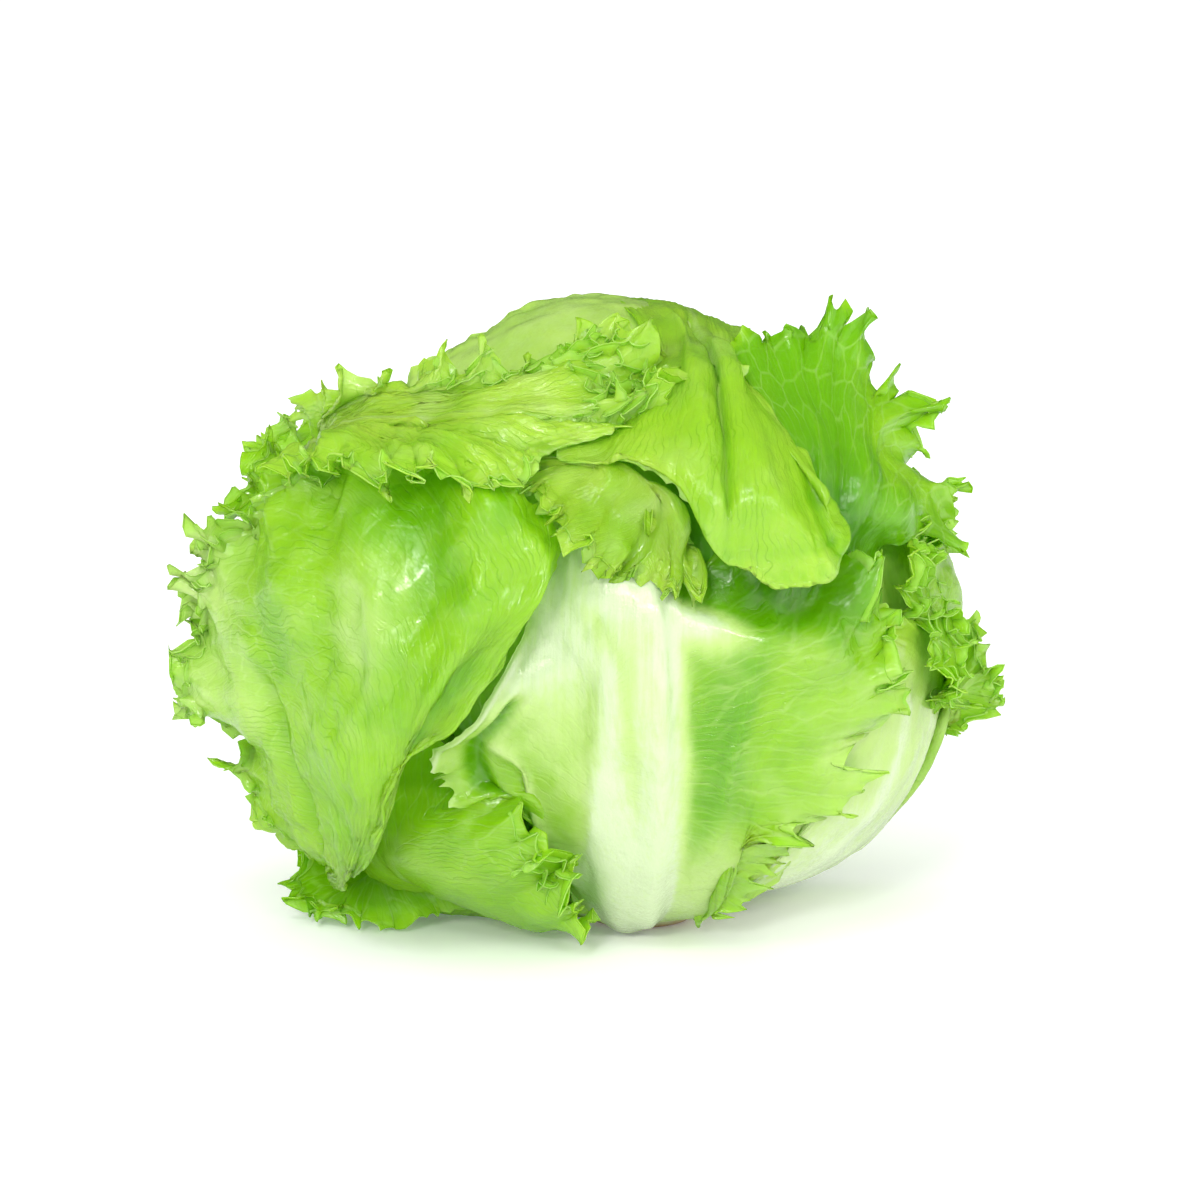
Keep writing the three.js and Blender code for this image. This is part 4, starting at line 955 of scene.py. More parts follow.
        "tissue": "outer", "midrib": 0.15, "slant": 0.9, "rib_pale": 0, "lush": 0.5, "pale": 0.02,
        "base_pale": 0.2,
        "frill": [0.15, 0.15, 0.2, 0.25, 0.3, 0.4, 0.6, 1.0, 1.2, 1.2, 1.1, 0.7, 0.1],
        "tooth": 1.15, "hug": 9,
        "foot": {"bearing": -112, "span": 44, "height": 8.6},
        "rows": [
            [
                [-90, -34, 47], [-91, -34, 47], [-92, -34, 47], [-93, -34, 47], [-95, -34, 47],
                [-97, -34, 47], [-98, -34, 47], [-100, -34, 47], [-102, -34, 47], [-104, -34, 47],
                [-105, -34, 47], [-106, -34, 47], [-108, -34, 47],
            ],
            [
                [-51, -23, 47], [-51, -23, 48], [-52, -24, 50], [-53, -26, 51], [-55, -26, 52],
                [-57, -27, 54], [-59, -28, 54], [-62, -29, 54], [-66, -29, 53], [-69, -29, 53],
                [-72, -30, 53], [-76, -30, 54], [-78, -30, 54],
            ],
            [
                [-49, -20, 47], [-45, -16, 45], [-39, -11, 41], [-35, -4, 39], [-33, 0, 39], [-40, 1, 43],
                [-49, 0, 47], [-60, -5, 50], [-67, -9, 53], [-73, -13, 55], [-76, -17, 56],
                [-77, -21, 56], [-79, -29, 55],
            ],
            [
                [-49, -18.5, 46], [-40, -11, 38], [-28, -2, 28], [-20, 9, 25], [-16, 20, 25],
                [-35, 29, 32], [-58, 27, 41], [-78, 14, 56], [-85, 2, 68], [-86, -8, 72], [-86, -13, 60],
                [-84, -20, 64], [-81, -29, 56],
            ],
        ],
    },
    # the long frilled leaf across the top left, ending in a dense ruffle
    "crest_leaf": {
        "seed": 17.7,
        "ruffles": [
            [0.12, 0.42, 4, 5, 50], [0.3, 0.56, 7, 6.5, 80], [0.34, 0.58, 12, 6.5, 70],
            [0.36, 0.6, 17, 6, 60], [0.36, 0.6, 22, 6, 70], [0.68, 0.97, 3, 6, 60],
            [0.2, 0.36, 9, 5.5, 70],
        ],
        "pucker": 1.2, "swell": 2.0,
        # The deeper green of its furrows is painted shade in their creases.
        "ridges": [
            ridge((0.5, 1.1), [0.62, 0.57, 0.54, 0.51], (6, 6), rise=-2.6, lush=0.2),
            ridge((0.55, 1.1), [0.78, 0.76, 0.75, 0.74], (5, 7), rise=2.4),
            ridge((0.55, 1.1), [0.71, 0.69, 0.67, 0.65], (4, 4), rise=-1.8, lush=0.15),
        ],
        "curl": [0.6, 1, 1.3, 1.2, 1.1, 1.2, 1.2, 1.3, 1, 0.3, 0.1, 0.6, 1.2, 1.1, 0.9, 0.6],
        "flare": [0, 0, 1, 2, 3, 3, 4, 4, 3, 0, 0, 3, 5, 5, 3, 0],
        "tissue": "outer", "fan": True, "lush": 0.2, "pale": 0.13, "base_pale": 0.2,
        "frill": [0.6, 0.8, 0.9, 0.9, 0.9, 1, 1.2, 1.2, 1, 0.3, 0.1, 0.4, 0.9, 1, 0.9, 0.6],
        "hug": 10,
        "foot": {"bearing": -112, "span": 70, "height": 10.4},
        "rows": [
            [
                [-116, 4, 20], [-114, 7, 20], [-112, 10, 20], [-109, 12, 20], [-106, 13, 20],
                [-103, 14, 20], [-100, 14, 20], [-97, 14, 20], [-94, 13, 20], [-91, 12, 20],
                [-88, 11, 21], [-85, 9, 22], [-82, 7, 23], [-79, 5, 24], [-76, 2, 26], [-74, -2, 28],
            ],
            [
                [-106, 12, 28], [-99, 17, 31], [-92, 20, 33], [-86, 23, 34], [-80, 25, 35], [-75, 27, 36],
                [-71, 28, 37], [-68, 28, 38], [-67, 27, 39], [-67, 26, 40], [-69, 25, 40], [-72, 23, 39],
                [-75, 21, 38], [-78, 18, 37], [-80, 13, 36], [-80, 8, 34],
            ],
            [
                [-98, 18, 34], [-86, 25, 36], [-77, 29, 37], [-69, 32, 36], [-61, 34, 35], [-53, 35, 33],
                [-44, 37, 30], [-37, 37, 28], [-37, 35, 30], [-41, 33, 32], [-46, 32, 34], [-52, 30, 37],
                [-58, 29, 39], [-66, 27, 40], [-74, 24, 41], [-80, 17, 39],
            ],
            [
                [-92, 25, 38], [-74, 31, 39], [-60, 35, 36], [-50, 38, 32], [-42, 40, 28], [-33, 43, 24],
                [-20, 46, 21], [-11, 43, 20], [-13, 39, 22], [-20, 36, 27], [-26, 32, 32], [-29, 29, 37],
                [-37, 28, 40], [-47, 28, 42], [-60, 26, 44], [-72, 24, 45],
            ],
            [
                [-96, 24, 42], [-74, 34, 41], [-60, 38, 33], [-49, 42, 28], [-38, 46, 23], [-26, 52, 18],
                [-4, 58, 17], [10, 49, 19], [3, 40, 20], [-11, 35, 22], [-20, 31, 27], [-22, 25, 32],
                [-30, 22, 42], [-40, 21, 47], [-54, 21, 50], [-69, 19, 51],
            ],
        ],
    },
}

# ---------------------------------------------------------------- the leaf as a closed shell
# Bands of rows, from the margin inwards. Each band has half the columns of the one outside it, so the
# mesh is finest where the teeth and curls are. `reach` is where the band ends and `rows` how many
# rows it has; the last band runs on to the stem.
BANDS = [{"reach": 9.0, "rows": 12}, {"reach": 24.0, "rows": 9}]
BAND_LIMIT = 0.45  # of a column's length, where the leaf is short
MARGIN_CROWDING = 1.25  # how much closer the outermost rows stand
ROW_PITCH = 3.0  # between the rows of the last band, of which there are at least MIN_ROWS
MIN_ROWS = 8
MIN_COLUMNS = 20  # least number of columns of the last band


def inward_rows(sheet, share, band):
    """Distances in from the margin for each column and row of a band: shares of the way to where the
    outer bands end, or in the last band of the way from there to the stem."""
    full = sheet.depths(sheet.u_at(share))[:, -1:]
    reach = BANDS[-1]["reach"]
    outer = np.minimum(reach, BAND_LIMIT * full)
    if band == len(BANDS):
        rows = max(MIN_ROWS, round((sheet.longest - reach) / ROW_PITCH))
        return outer + np.linspace(0, 1, rows + 1) * (full - outer)
    t = np.arange(BANDS[band]["rows"]) / BANDS[band]["rows"]
    first = BANDS[0]["reach"] / reach
    return outer * (first + (1 - first) * t if band else first * t**MARGIN_CROWDING)


def weave(rows):
    """Quads between rows of equal length, and three triangles to a quad where a row is half as long."""
    quads, triangles = [], []
    for outer, inner in zip(rows, rows[1:]):
        if len(outer) == len(inner):
            quads.append(np.stack([outer[:-1], inner[:-1], inner[1:], outer[1:]], 1))
            continue
        left, mid, right = outer[:-1:2], outer[1::2], outer[2::2]
        triangles.append(np.stack([left, inner[:-1], mid], 1))
        triangles.append(np.stack([mid, inner[:-1], inner[1:]], 1))
        triangles.append(np.stack([mid, inner[1:], right], 1))
    empty = np.zeros((0, 3), int)
    return np.concatenate(quads), np.concatenate([empty, *triangles])


def vertex_normals(points, quads, triangles):
    """Unit sums of the face normals round each vertex, a quad's being half its diagonals' product."""
    sums = np.zeros_like(points)
    for faces in (quads, triangles):
        corners = points[faces]
        if faces.shape[1] == 4:
            area = np.cross(corners[:, 2] - corners[:, 0], corners[:, 3] - corners[:, 1])
        else:
            area = np.cross(corners[:, 1] - corners[:, 0], corners[:, 2] - corners[:, 0])
        for k in range(faces.shape[1]):
            for axis in range(3):
                sums[:, axis] += np.bincount(faces[:, k], area[:, axis], len(points))
    return sums / np.maximum(np.linalg.norm(sums, axis=1, keepdims=True), 1e-12)


def closed_shell(flat, thick, rows):
    """Both faces of a sheet, half its thickness to each side along its normals, joined round its rim.
    Faces that would point inwards are turned round. `rows` index the sheet's points, edge first."""
    points = flat["points"]
    count = len(points)
    quads, triangles = weave(rows)
    inner = rows[1:-1]
    heads, ends = np.array([row[0] for row in inner]), np.array([row[-1] for row in inner])
    rim = np.concatenate([rows[0], ends, rows[-1][::-1], heads[::-1]])
    offset = vertex_normals(points, quads, triangles) * thick[:, None] / 2
    both = np.concatenate([points + offset, points - offset])
    loop = np.roll(rim, -1)
    edge = np.stack([rim, loop, loop + count, rim + count], 1)
    quads = np.concatenate([quads, quads[:, ::-1] + count, edge[:, ::-1]])
    triangles = np.concatenate([triangles, triangles[:, ::-1] + count])
    if signed_volume(both, quads, triangles) < 0:
        quads, triangles = quads[:, ::-1], triangles[:, ::-1]
    shell = {key: np.concatenate([flat[key], flat[key]]) for key in ("u", "v", "depth")}
    return {"points": both, "quads": quads, "triangles": triangles, **shell}


def signed_volume(points, quads, triangles):
    """Six times the volume inside faces that point outwards: the sum of their corners' triple
    products."""
    a, b, c, d = (points[quads[:, k]] for k in range(4))
    total = (a * np.cross(b, c)).sum() + (a * np.cross(c, d)).sum()
    a, b, c = (points[triangles[:, k]] for k in range(3))
    return total + (a * np.cross(b, c)).sum()


def kept_in_box(points):
    """Millimetre points bent smoothly inwards where they would leave the box of the plain solids."""
    low, high = np.array(cad_box) / MM
    kept = points.copy()
    for axis in range(3):
        clearance = FLOOR_CLEARANCE if axis == 2 else BOX_MARGIN
        kept[:, axis] = low[axis] + clearance + soft_plus(points[:, axis] - low[axis] - clearance)
        kept[:, axis] = high[axis] - BOX_MARGIN - soft_plus(high[axis] - BOX_MARGIN - kept[:, axis])
    return kept


def soft_plus(x):
    """(x + sqrt(x^2 + BOX_BEND)) / 2: x where it is well above 0, and 0 where it is well below."""
    return (x + np.sqrt(x * x + BOX_BEND)) / 2


def mesh_object(name, points, quads, triangles, material, attributes=None, uv=None):
    """An object at the origin, from points in millimetres, with smooth faces. It may have values for
    its points and a vein map."""
    mesh = bpy.data.meshes.new(name)
    mesh.vertices.add(len(points))
    mesh.vertices.foreach_set("co", (points * MM).astype(np.float32).ravel())
    corners = np.concatenate([quads.ravel(), triangles.ravel()]).astype(np.int32)
    sizes = np.concatenate([np.full(len(quads), 4), np.full(len(triangles), 3)]).astype(np.int32)
    starts = np.concatenate([[0], np.cumsum(sizes)[:-1]]).astype(np.int32)
    mesh.loops.add(len(corners))
    mesh.loops.foreach_set("vertex_index", corners)
    mesh.polygons.add(len(sizes))
    mesh.polygons.foreach_set("loop_start", starts)
    mesh.polygons.foreach_set("loop_total", sizes)
    mesh.polygons.foreach_set("use_smooth", np.ones(len(sizes), bool))
    mesh.update(calc_edges=True)
    for key, values in (attributes or {}).items():
        mesh.attributes.new(key, "FLOAT", "POINT").data.foreach_set("value", values.astype(np.float32))
    if uv is not None:
        layer = mesh.uv_layers.new(name="veins")
        layer.data.foreach_set("uv", uv[corners].astype(np.float32).ravel())
    mesh.materials.append(material)
    made = bpy.data.objects.new(name, mesh)
    bpy.context.scene.collection.objects.link(made)
    return made


BLADE_RIM = {"share": 0.62, "depth": 6}  # a blade's thickness at its rim, and where it is full
STALK = {"thick": 1.2, "end": 0.35}  # what a leaf gains towards the stem, and the v where that ends
MARGIN_GREEN = {"share": 0.45, "depth": 9}  # depth of green left at the margin, and where it is full; the lighter margin is partly thin tissue, partly painted light in the frills' own shade
RUFFLE_THICK = 0.65  # a ruffle's thickness, as a share of a blade's
RIB_HALO = {"width": 5, "fades": (0.35, 1.0)}  # paleness beside a midrib, and the v where it fades


def wide_bump(u, v, at_u, at_v, wide, tall, height):
    """height * exp(-(du / wide)^2 - (dv / tall)^2) round a point of the leaf."""
    return height * np.exp(-(((u - at_u) / wide) ** 2) - ((v - at_v) / tall) ** 2)


def stalk_tones(leaf, sheet, u, v):
    """How pale and how deep green a leaf is at each point, pale from 0 to 1 and green from 0 to 2: pale
    towards the stem and along the midrib, and in the leaf's own patches; deep green where its patches
    say so. Patches and ridges also paint shade, as deeper green and less paleness, and highlights, as
    more paleness."""
    side = np.abs(u - sheet.midrib) * sheet.margin_length * width_at(v, FOOT_WIDTH["line"])
    rib = np.exp(-((side / RIB_HALO["width"]) ** 2)) * (1 - smoothstep(*RIB_HALO["fades"], v))
    base = 1 - smoothstep(0.0, leaf.get("pale_reach", 0.55), v)
    pale = leaf.get("pale", 0.1) + leaf.get("base_pale", 0.55) * base + leaf.get("rib_pale", 0.35) * rib
    lush = leaf.get("lush", 0.35) * np.ones_like(v)
    for *place, more_pale_and_highlight, more_lush_and_shade in leaf.get("patches", ()):
        patch = wide_bump(u, v, *place, 1)
        pale = pale + more_pale_and_highlight * patch
        lush = lush + more_lush_and_shade * patch
    for line in leaf.get("ridges", ()):
        bell = sheet.bell(line, u, v)
        pale, lush = pale + line["pale"] * bell, lush + line["lush"] * bell
    return np.clip(pale, 0, 1), np.clip(lush, 0, 2)


def rib_swelling(leaf, sheet, u, v):
    """Extra thickness along the midrib: rib.thick, less towards its end, times a bell across it."""
    rib = leaf.get("rib")
    if not rib:
        return np.zeros_like(v)
    across = (u - rib["at"]) * sheet.margin_length * width_at(v, FOOT_WIDTH["rib"])
    bell = np.exp(-((across / rib["width"]) ** 2))
    return rib["thick"] * np.maximum(0, 1 - v / rib["end"]) * bell


def blade_shell(leaf, sheet, shape):
    """The leaf's blade, with its stalk and rib, as a closed shell."""
    halved = 2 ** len(BANDS)
    columns = halved * max(MIN_COLUMNS, round(sheet.margin_length / (shape.pitch / MM) / halved))
    blocks, rows, start = [], [], 0
    for band in range(len(BANDS) + 1):
        count = columns // 2**band + 1
        share = np.linspace(0, 1, count) if band else sheet.columns(count)
        block = sheet.surface(share, inward_rows(sheet, share, band))
        blocks.append({key: np.swapaxes(value, 0, 1) for key, value in block.items()})
        for _ in range(block["v"].shape[1]):
            rows.append(np.arange(start, start + count))
            start += count
    flat = {
        key: np.concatenate([block[key].reshape(-1, *block[key].shape[2:]) for block in blocks])
        for key in blocks[0]
    }
    rim, fading = BLADE_RIM["share"], BLADE_RIM["depth"]
    blade = shape.blade / MM * (rim + (1 - rim) * smoothstep(0, fading, flat["depth"]))
    stalk = STALK["thick"] * (1 - smoothstep(0.0, STALK["end"], flat["v"]))
    swelling = rib_swelling(leaf, sheet, flat["u"], flat["v"])
    return closed_shell(flat, blade + stalk + swelling, rows)


def ruffle_shell(sheet, shape, strip):
    """A frill that stands on a leaf, as a closed shell."""
    grid = sheet.ruffle(*strip)
    count = grid["u"].shape[1]
    rows = [np.arange(count) + k * count for k in range(len(grid["u"]))]
    flat = {key: value.reshape(-1, *value.shape[2:]) for key, value in grid.items()}
    return closed_shell(flat, np.full(len(flat["u"]), shape.blade / MM * RUFFLE_THICK), rows)


def leaf_piece(name, shape, material):
    """One leaf, its blade and the frills that stand on it, in the place of its plain solid."""
    leaf = LEAVES[name]
    sheet = Sheet(leaf, shape)
    shells = [blade_shell(leaf, sheet, shape)]
    shells += [ruffle_shell(sheet, shape, strip) for strip in leaf.get("ruffles", ())]
    first = np.cumsum([0, *(len(shell["points"]) for shell in shells)])
    quads = np.concatenate([shell["quads"] + start for shell, start in zip(shells, first)])
    triangles = np.concatenate([shell["triangles"] + start for shell, start in zip(shells, first)])
    points, u, v, depth = (
        np.concatenate([shell[key] for shell in shells]) for key in ("points", "u", "v", "depth")
    )
    pale, lush = stalk_tones(leaf, sheet, u, v)
    # Less deep green towards the margin: partly thin tissue, partly painted light in the frills' own
    # shade.
    share = MARGIN_GREEN["share"]
    lush = lush * (share + (1 - share) * smoothstep(0, MARGIN_GREEN["depth"], depth))
    veiny = sum((wide_bump(u, v, *patch) for patch in leaf.get("veiny", ())), 0 * u)
    attributes = {"pale": pale, "lush": lush, "margin": depth, "veiny": veiny}
    uv = np.stack(sheet.veins(points, u, v), 1) / VEIN_UNIT
    made = mesh_object(name + "_frilled", kept_in_box(points), quads, triangles, material, attributes, uv)
    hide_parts(name)
    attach(made, "root")


# ---------------------------------------------------------------- materials
VEIN_UNIT = 10.0  # millimetres to a unit of the vein map
METRE = 1000.0
FLOOR_GLOW = 0.1  # keeps the plain floor as white as the background

# Lines in the vein map, in millimetres: their spacing, how wide they are whole, and where they end.
SIDE_VEINS = {"spacing": 9.5, "core": 0.1, "edge": 0.75}
FINE_VEINS = {"spacing": 2.4, "core": 0.05, "edge": 0.45}
DARK_LINES = {"spacing": 3.1, "core": 0.03, "edge": 0.26}
# Borders of cells in the vein map, as shares of a cell, and how many small cells span a large one.
NET = {"core": 0.012, "edge": 0.075}
SMALL_NET = {"core": 0.0, "edge": 0.14}
NET_RATIO = 3.1
RELIEF = 0.0009  # metres, depth of the relief that the bump gives a leaf
# The waxy surface: it reflects more than plain tissue, with a slightly yellow tint.
WAX = {
    "IOR": 1.5,
    "Specular IOR Level": 1.0,
    "Specular Tint": (1.0, 1.0, 0.85, 1.0),
    "Coat Roughness": 0.16,
}


class Value:
    """A socket whose value can be used in Python expressions, each operator adding a Math node."""

    def __init__(self, nodes, socket):
        self.nodes, self.socket = nodes, socket

    def math(self, operation, *others, **settings):
        return self.nodes.add("ShaderNodeMath", {"operation": operation, **settings}, [self, *others])

    def __add__(self, other):
        return self.math("ADD", other)

    def __mul__(self, other):
        return self.math("MULTIPLY", other)

    def __sub__(self, other):
        return self.math("SUBTRACT", other)

    def __rsub__(self, other):
        return self.nodes.add("ShaderNodeMath", {"operation": "SUBTRACT"}, [other, self])

    __radd__ = __add__
    __rmul__ = __mul__

    def clamped(self):
        return self.math("ADD", 0.0, use_clamp=True)

    def step(self, low, high):
        """A smooth step from 0 at low to 1 at high."""
        settings = {"interpolation_type": "SMOOTHSTEP"}
        inputs = {"Value": self, "From Min": low, "From Max": high}
        return self.nodes.add("ShaderNodeMapRange", settings, inputs)

    def from_line(self):
        """Distance to the nearest whole number."""
        return 0.5 - (self.math("FRACT") - 0.5).math("ABSOLUTE")


class Nodes:
    """The node tree of a new material."""

    def __init__(self, name):
        self.material = bpy.data.materials.new(name)
        self.material.use_nodes = True
        self.tree = self.material.node_tree
        self.tree.nodes.clear()

    def add(self, kind, settings=None, inputs=(), output=0):
        """Any node: its settings first, then the values or links of its sockets, by name or in order."""
        node = self.tree.nodes.new(kind)
        for key, value in (settings or {}).items():
            setattr(node, key, value)
        named = inputs.items() if isinstance(inputs, dict) else enumerate(inputs)
        for key, value in named:
            if isinstance(value, Value):
                self.tree.links.new(value.socket, node.inputs[key])
            else:
                node.inputs[key].default_value = value
        return Value(self, node.outputs[output]) if len(node.outputs) else node

    def mix(self, share, low, high):
        """The colour low, going over to high as the share goes from 0 to 1."""
        inputs = {0: share, 6: colour(low), 7: colour(high)}
        return self.add("ShaderNodeMix", {"data_type": "RGBA"}, inputs, 2)

    def attribute(self, name):
        return self.add("ShaderNodeAttribute", {"attribute_name": name}, output="Fac")

    def noise(self, vector, size, detail=2.0, roughness=0.5, step=None):
        """Noise from 0 to 1 on metre coordinates, its features `size` millimetres wide, or a smooth step
        of it."""
        inputs = {"Vector": vector, "Scale": METRE / size, "Detail": detail, "Roughness": roughness}
        made = self.add("ShaderNodeTexNoise", None, inputs)
        return made.step(*step) if step else made

    def lines(self, across, spacing, core, edge):
        """1 on parallel lines `spacing` millimetres apart in the vein map, 0 beyond `edge` from them."""
        distance = (across * (VEIN_UNIT / spacing)).from_line() * spacing
        return 1.0 - distance.step(core, edge)

    def cells(self, vector, size, core, edge):
        """1 on the borders of random cells `size` millimetres wide in the vein map."""
        settings = {"voronoi_dimensions": "2D", "feature": "DISTANCE_TO_EDGE"}
        inputs = {"Vector": vector, "Scale": VEIN_UNIT / size, "Randomness": 0.92}
        return 1.0 - self.add("ShaderNodeTexVoronoi", settings, inputs, "Distance").step(core, edge)

    def split(self, vector, *axes):
        """The parts of a vector."""
        node = self.add("ShaderNodeSeparateXYZ", None, [vector]).socket.node
        return [Value(self, node.outputs[axis]) for axis in axes]

    def place(self):
        """Object coordinates."""
        return self.add("ShaderNodeTexCoord", output="Object")

    def end(self, shader):
        self.add("ShaderNodeOutputMaterial", None, {"Surface": shader})
        return self.material


def colour(value):
    """A colour with full alpha, or the link given."""
    return value if isinstance(value, Value) else (*value[:3], 1.0)


# Kinds of leaf tissue: how much paler than its leaf says, the strength of its relief, how much soft
# white cloud it has, and how far its net of veins is squeezed along them; then how much shows of the
# side veins, of the net and its mean cell in millimetres, of the fine parallel veins, and of the fine
# dark lines on a leaf's outer face.
TISSUES = {
    "open": {
        "paler": 0.0, "bump": 0.5, "cloud": 0.16, "stretch": 0.22,
        "side": 0.15, "net": 0.11, "cell": 4.5, "fine": 0.16, "hair": 0.2,
    },
    "outer": {
        "paler": 0.0, "bump": 0.68, "cloud": 0.17, "stretch": 0.5,
        "side": 0.1, "net": 0.07, "cell": 6.0, "fine": 0.1, "hair": 1.0,
    },
    "fan": {
        "paler": 0.0, "bump": 0.5, "cloud": 0.06, "stretch": 0.33,
        "side": 0.06, "net": 0.38, "cell": 6.5, "fine": 0.05, "hair": 0.0,
    },
    "hood": {
        "paler": 0.0, "bump": 0.62, "cloud": 0.12, "stretch": 0.5,
        "side": 0.0, "net": 0.03, "cell": 6.0, "fine": 0.05, "hair": 1.1,
    },
    "closed": {
        "paler": 0.1, "bump": 0.25, "cloud": 0.1, "stretch": 0.5,
        "side": 0.12, "net": 0.05, "cell": 6.0, "fine": 0.1, "hair": 0.12,
    },
}


# Noises of the tissue: the size of their features in millimetres, and where they step from 0 to 1.
NOISES = {
    "drift": {"size": 14.0},
    "quiver": {"size": 4.0},
    "sparse": {"size": 11.0, "detail": 1.0, "step": (0.42, 0.62)},
    "grain": {"size": 3.2, "detail": 3.0, "roughness": 0.6},
    "cloud": {"size": 15.0, "step": (0.45, 0.75)},
    "mottle": {"size": 26.0, "detail": 3.0, "roughness": 0.55},
    "wrinkle": {"size": 1.1, "detail": 4.0, "roughness": 0.7},
    "blister": {"size": 5.0},
    "sparkle": {"size": 0.9, "roughness": 0.7, "step": (0.42, 0.6)},
    "flecks": {"size": 7.0, "detail": 1.0, "step": (0.3, 0.62)},
}
FIBRES = {"size": 1.8, "detail": 3.0, "roughness": 0.6}
FIBRE_SQUEEZE = 0.09  # share of the height that their noise reads, so fibres run upwards

# Where each green takes over as the tissue gets deeper, and each pale tone as it gets whiter. The
# dark green, past 1, is painted shade in hollows and folds, and the pale tones also paint some
# highlights.
GREENS = {"leaf": (0.0, 0.5), "deep": (0.45, 1.0), "dark": (1.05, 1.9)}
PALE_TONES = {"pale": (0.05, 0.6), "rib": (0.5, 1.0)}


def vein_masks(nodes, noise, kind):
    """1 on the side veins, the fine veins between them, the net that joins them, its small cells, and
    scattered fine dark lines, all in the vein map, which noise bends a little."""
    across, along = nodes.split(nodes.add("ShaderNodeUVMap", {"uv_map": "veins"}), "X", "Y")
    drift, quiver = noise["drift"] - 0.5, noise["quiver"] - 0.5
    side = nodes.lines(across + drift * 1.0 + quiver * 0.07, **SIDE_VEINS)
    fine = nodes.lines(across + drift * 0.5 + quiver * 0.08, **FINE_VEINS)
    bent = [across + drift * 0.5 + quiver * 0.12, along * kind["stretch"], 0.0]
    bent = nodes.add("ShaderNodeCombineXYZ", None, bent)
    net = nodes.cells(bent, kind["cell"], **NET)
    small_net = nodes.cells(bent, kind["cell"] / NET_RATIO, **SMALL_NET)
    dark = nodes.lines(across + drift * 1.7 + quiver * 0.3, **DARK_LINES) * noise["sparse"]
    return side, fine, net, small_net, dark


def blade_colour(nodes, colours, depth, whitened):
    """The lightest green, going over to the darker greens with depth, and then to the pale tones with
    whiteness. The darkest green is painted shade, and depth and whiteness also carry the painted shade
    and painted highlights of patches and ridges."""
    tissue = colours.light
    for amount, tones in ((depth, GREENS), (whitened, PALE_TONES)):
        for tone, span in tones.items():
            tissue = nodes.mix(amount.step(*span), tissue, getattr(colours, tone))
    return tissue


def leaf_material(name, colours, kind):
    """Leaf tissue: mottled green, paler towards rib and stem, a net of veins, a thin pale margin and a
    waxy puckered surface with a sparkling coat. Some light comes through the blade."""
    nodes = Nodes(name)
    place = nodes.place()
    noise = {key: nodes.noise(place, **settings) for key, settings in NOISES.items()}
    side_vein, fine_vein, net, small_net, dark_line = vein_masks(nodes, noise, kind)
    grain = noise["grain"]

    # how white the tissue is, and how deep its green, both also carrying the painted shade and painted
    # highlights of the leaf's patches and ridges
    pale = (nodes.attribute("pale") + kind["paler"]).clamped()
    x, y, z = nodes.split(place, "X", "Y", "Z")
    drawn_out = nodes.add("ShaderNodeCombineXYZ", None, [x, y, z * FIBRE_SQUEEZE])
    fibres = nodes.noise(drawn_out, **FIBRES)
    fibrous = pale * (fibres - 0.55) * 0.5
    whitened = (pale + noise["cloud"] * kind["cloud"] + (grain - 0.5) * 0.1 + fibrous).clamped()
    depth = nodes.attribute("lush") + (noise["mottle"] - 0.5) * 1.0 + (grain - 0.5) * 0.3
    tissue = blade_colour(nodes, colours, depth, whitened)

    # veins, least in white and in the deepest tissue, where the darkest green is painted shade, then the
    # dark lines and the margin
    veiny = nodes.attribute("veiny") + kind["net"]
    veins = (side_vein * kind["side"] + (net + small_net * 0.22) * veiny * 0.75).clamped()
    clear = (1.0 - whitened.step(0.6, 0.9)) * (1.0 - depth.step(0.85, 1.3) * 0.7)
    veins = (veins + fine_vein * kind["fine"]).clamped() * clear
    tissue = nodes.mix(veins * (1.0 - whitened * 0.6), tissue, colours.vein)
    tissue = nodes.mix(dark_line * (kind["hair"] * (1.0 - whitened)) * 0.6, tissue, colours.deep)
    edge = 1.0 - nodes.attribute("margin").step(0.2, 2.0)
    tissue = nodes.mix(edge * 0.6, tissue, colours.margin)

    # relief and gloss
    grooves = side_vein * 0.15 + net * 0.15 + fine_vein * 0.08 + dark_line * 0.25
    swells = noise["blister"] * 0.8 + noise["wrinkle"] * 0.36
    height = swells + fibres * pale * 0.5 - grooves * (1.0 - pale)
    inputs = {"Strength": kind["bump"], "Distance": RELIEF, "Height": height}
    bump = nodes.add("ShaderNodeBump", None, inputs)
    sparkle = noise["sparkle"] * noise["flecks"]
    inputs = {
        "Base Color": tissue,
        "Roughness": 0.09 + grain * 0.15 + whitened * 0.04,
        "Normal": bump,
        "Coat Weight": 0.15 + sparkle * 0.85,
        **WAX,
    }
    body = nodes.add("ShaderNodeBsdfPrincipled", None, inputs)
    inputs = {"Color": (*colours.through[:3], 1.0)}
    through = nodes.add("ShaderNodeBsdfTranslucent", None, inputs)
    passing = (0.48 + edge * 0.1 - whitened * 0.26).clamped()
    return nodes.end(nodes.add("ShaderNodeMixShader", None, [passing, body, through]))


def stem_material(name, colours):
    """Cream stem with browned, ringed cut face."""
    nodes = Nodes(name)
    place = nodes.place()
    (z,) = nodes.split(place, "Z")
    browned = 1.0 - z.step(0.0002, 0.0032)
    stain = nodes.noise(place, 5.0, 3.0, 0.6)
    tissue = nodes.mix(nodes.noise(place, 9.0).step(0.3, 0.7), colours.rib, colours.stem)
    tissue = nodes.mix((browned * (0.5 + stain * 0.7)).clamped(), tissue, colours.cut)
    bump = nodes.add("ShaderNodeBump", None, {"Strength": 0.6, "Distance": 0.0008, "Height": stain})
    inputs = {"Base Color": tissue, "Roughness": 0.45 + stain * 0.25, "Normal": bump}
    return nodes.end(nodes.add("ShaderNodeBsdfPrincipled", None, inputs))


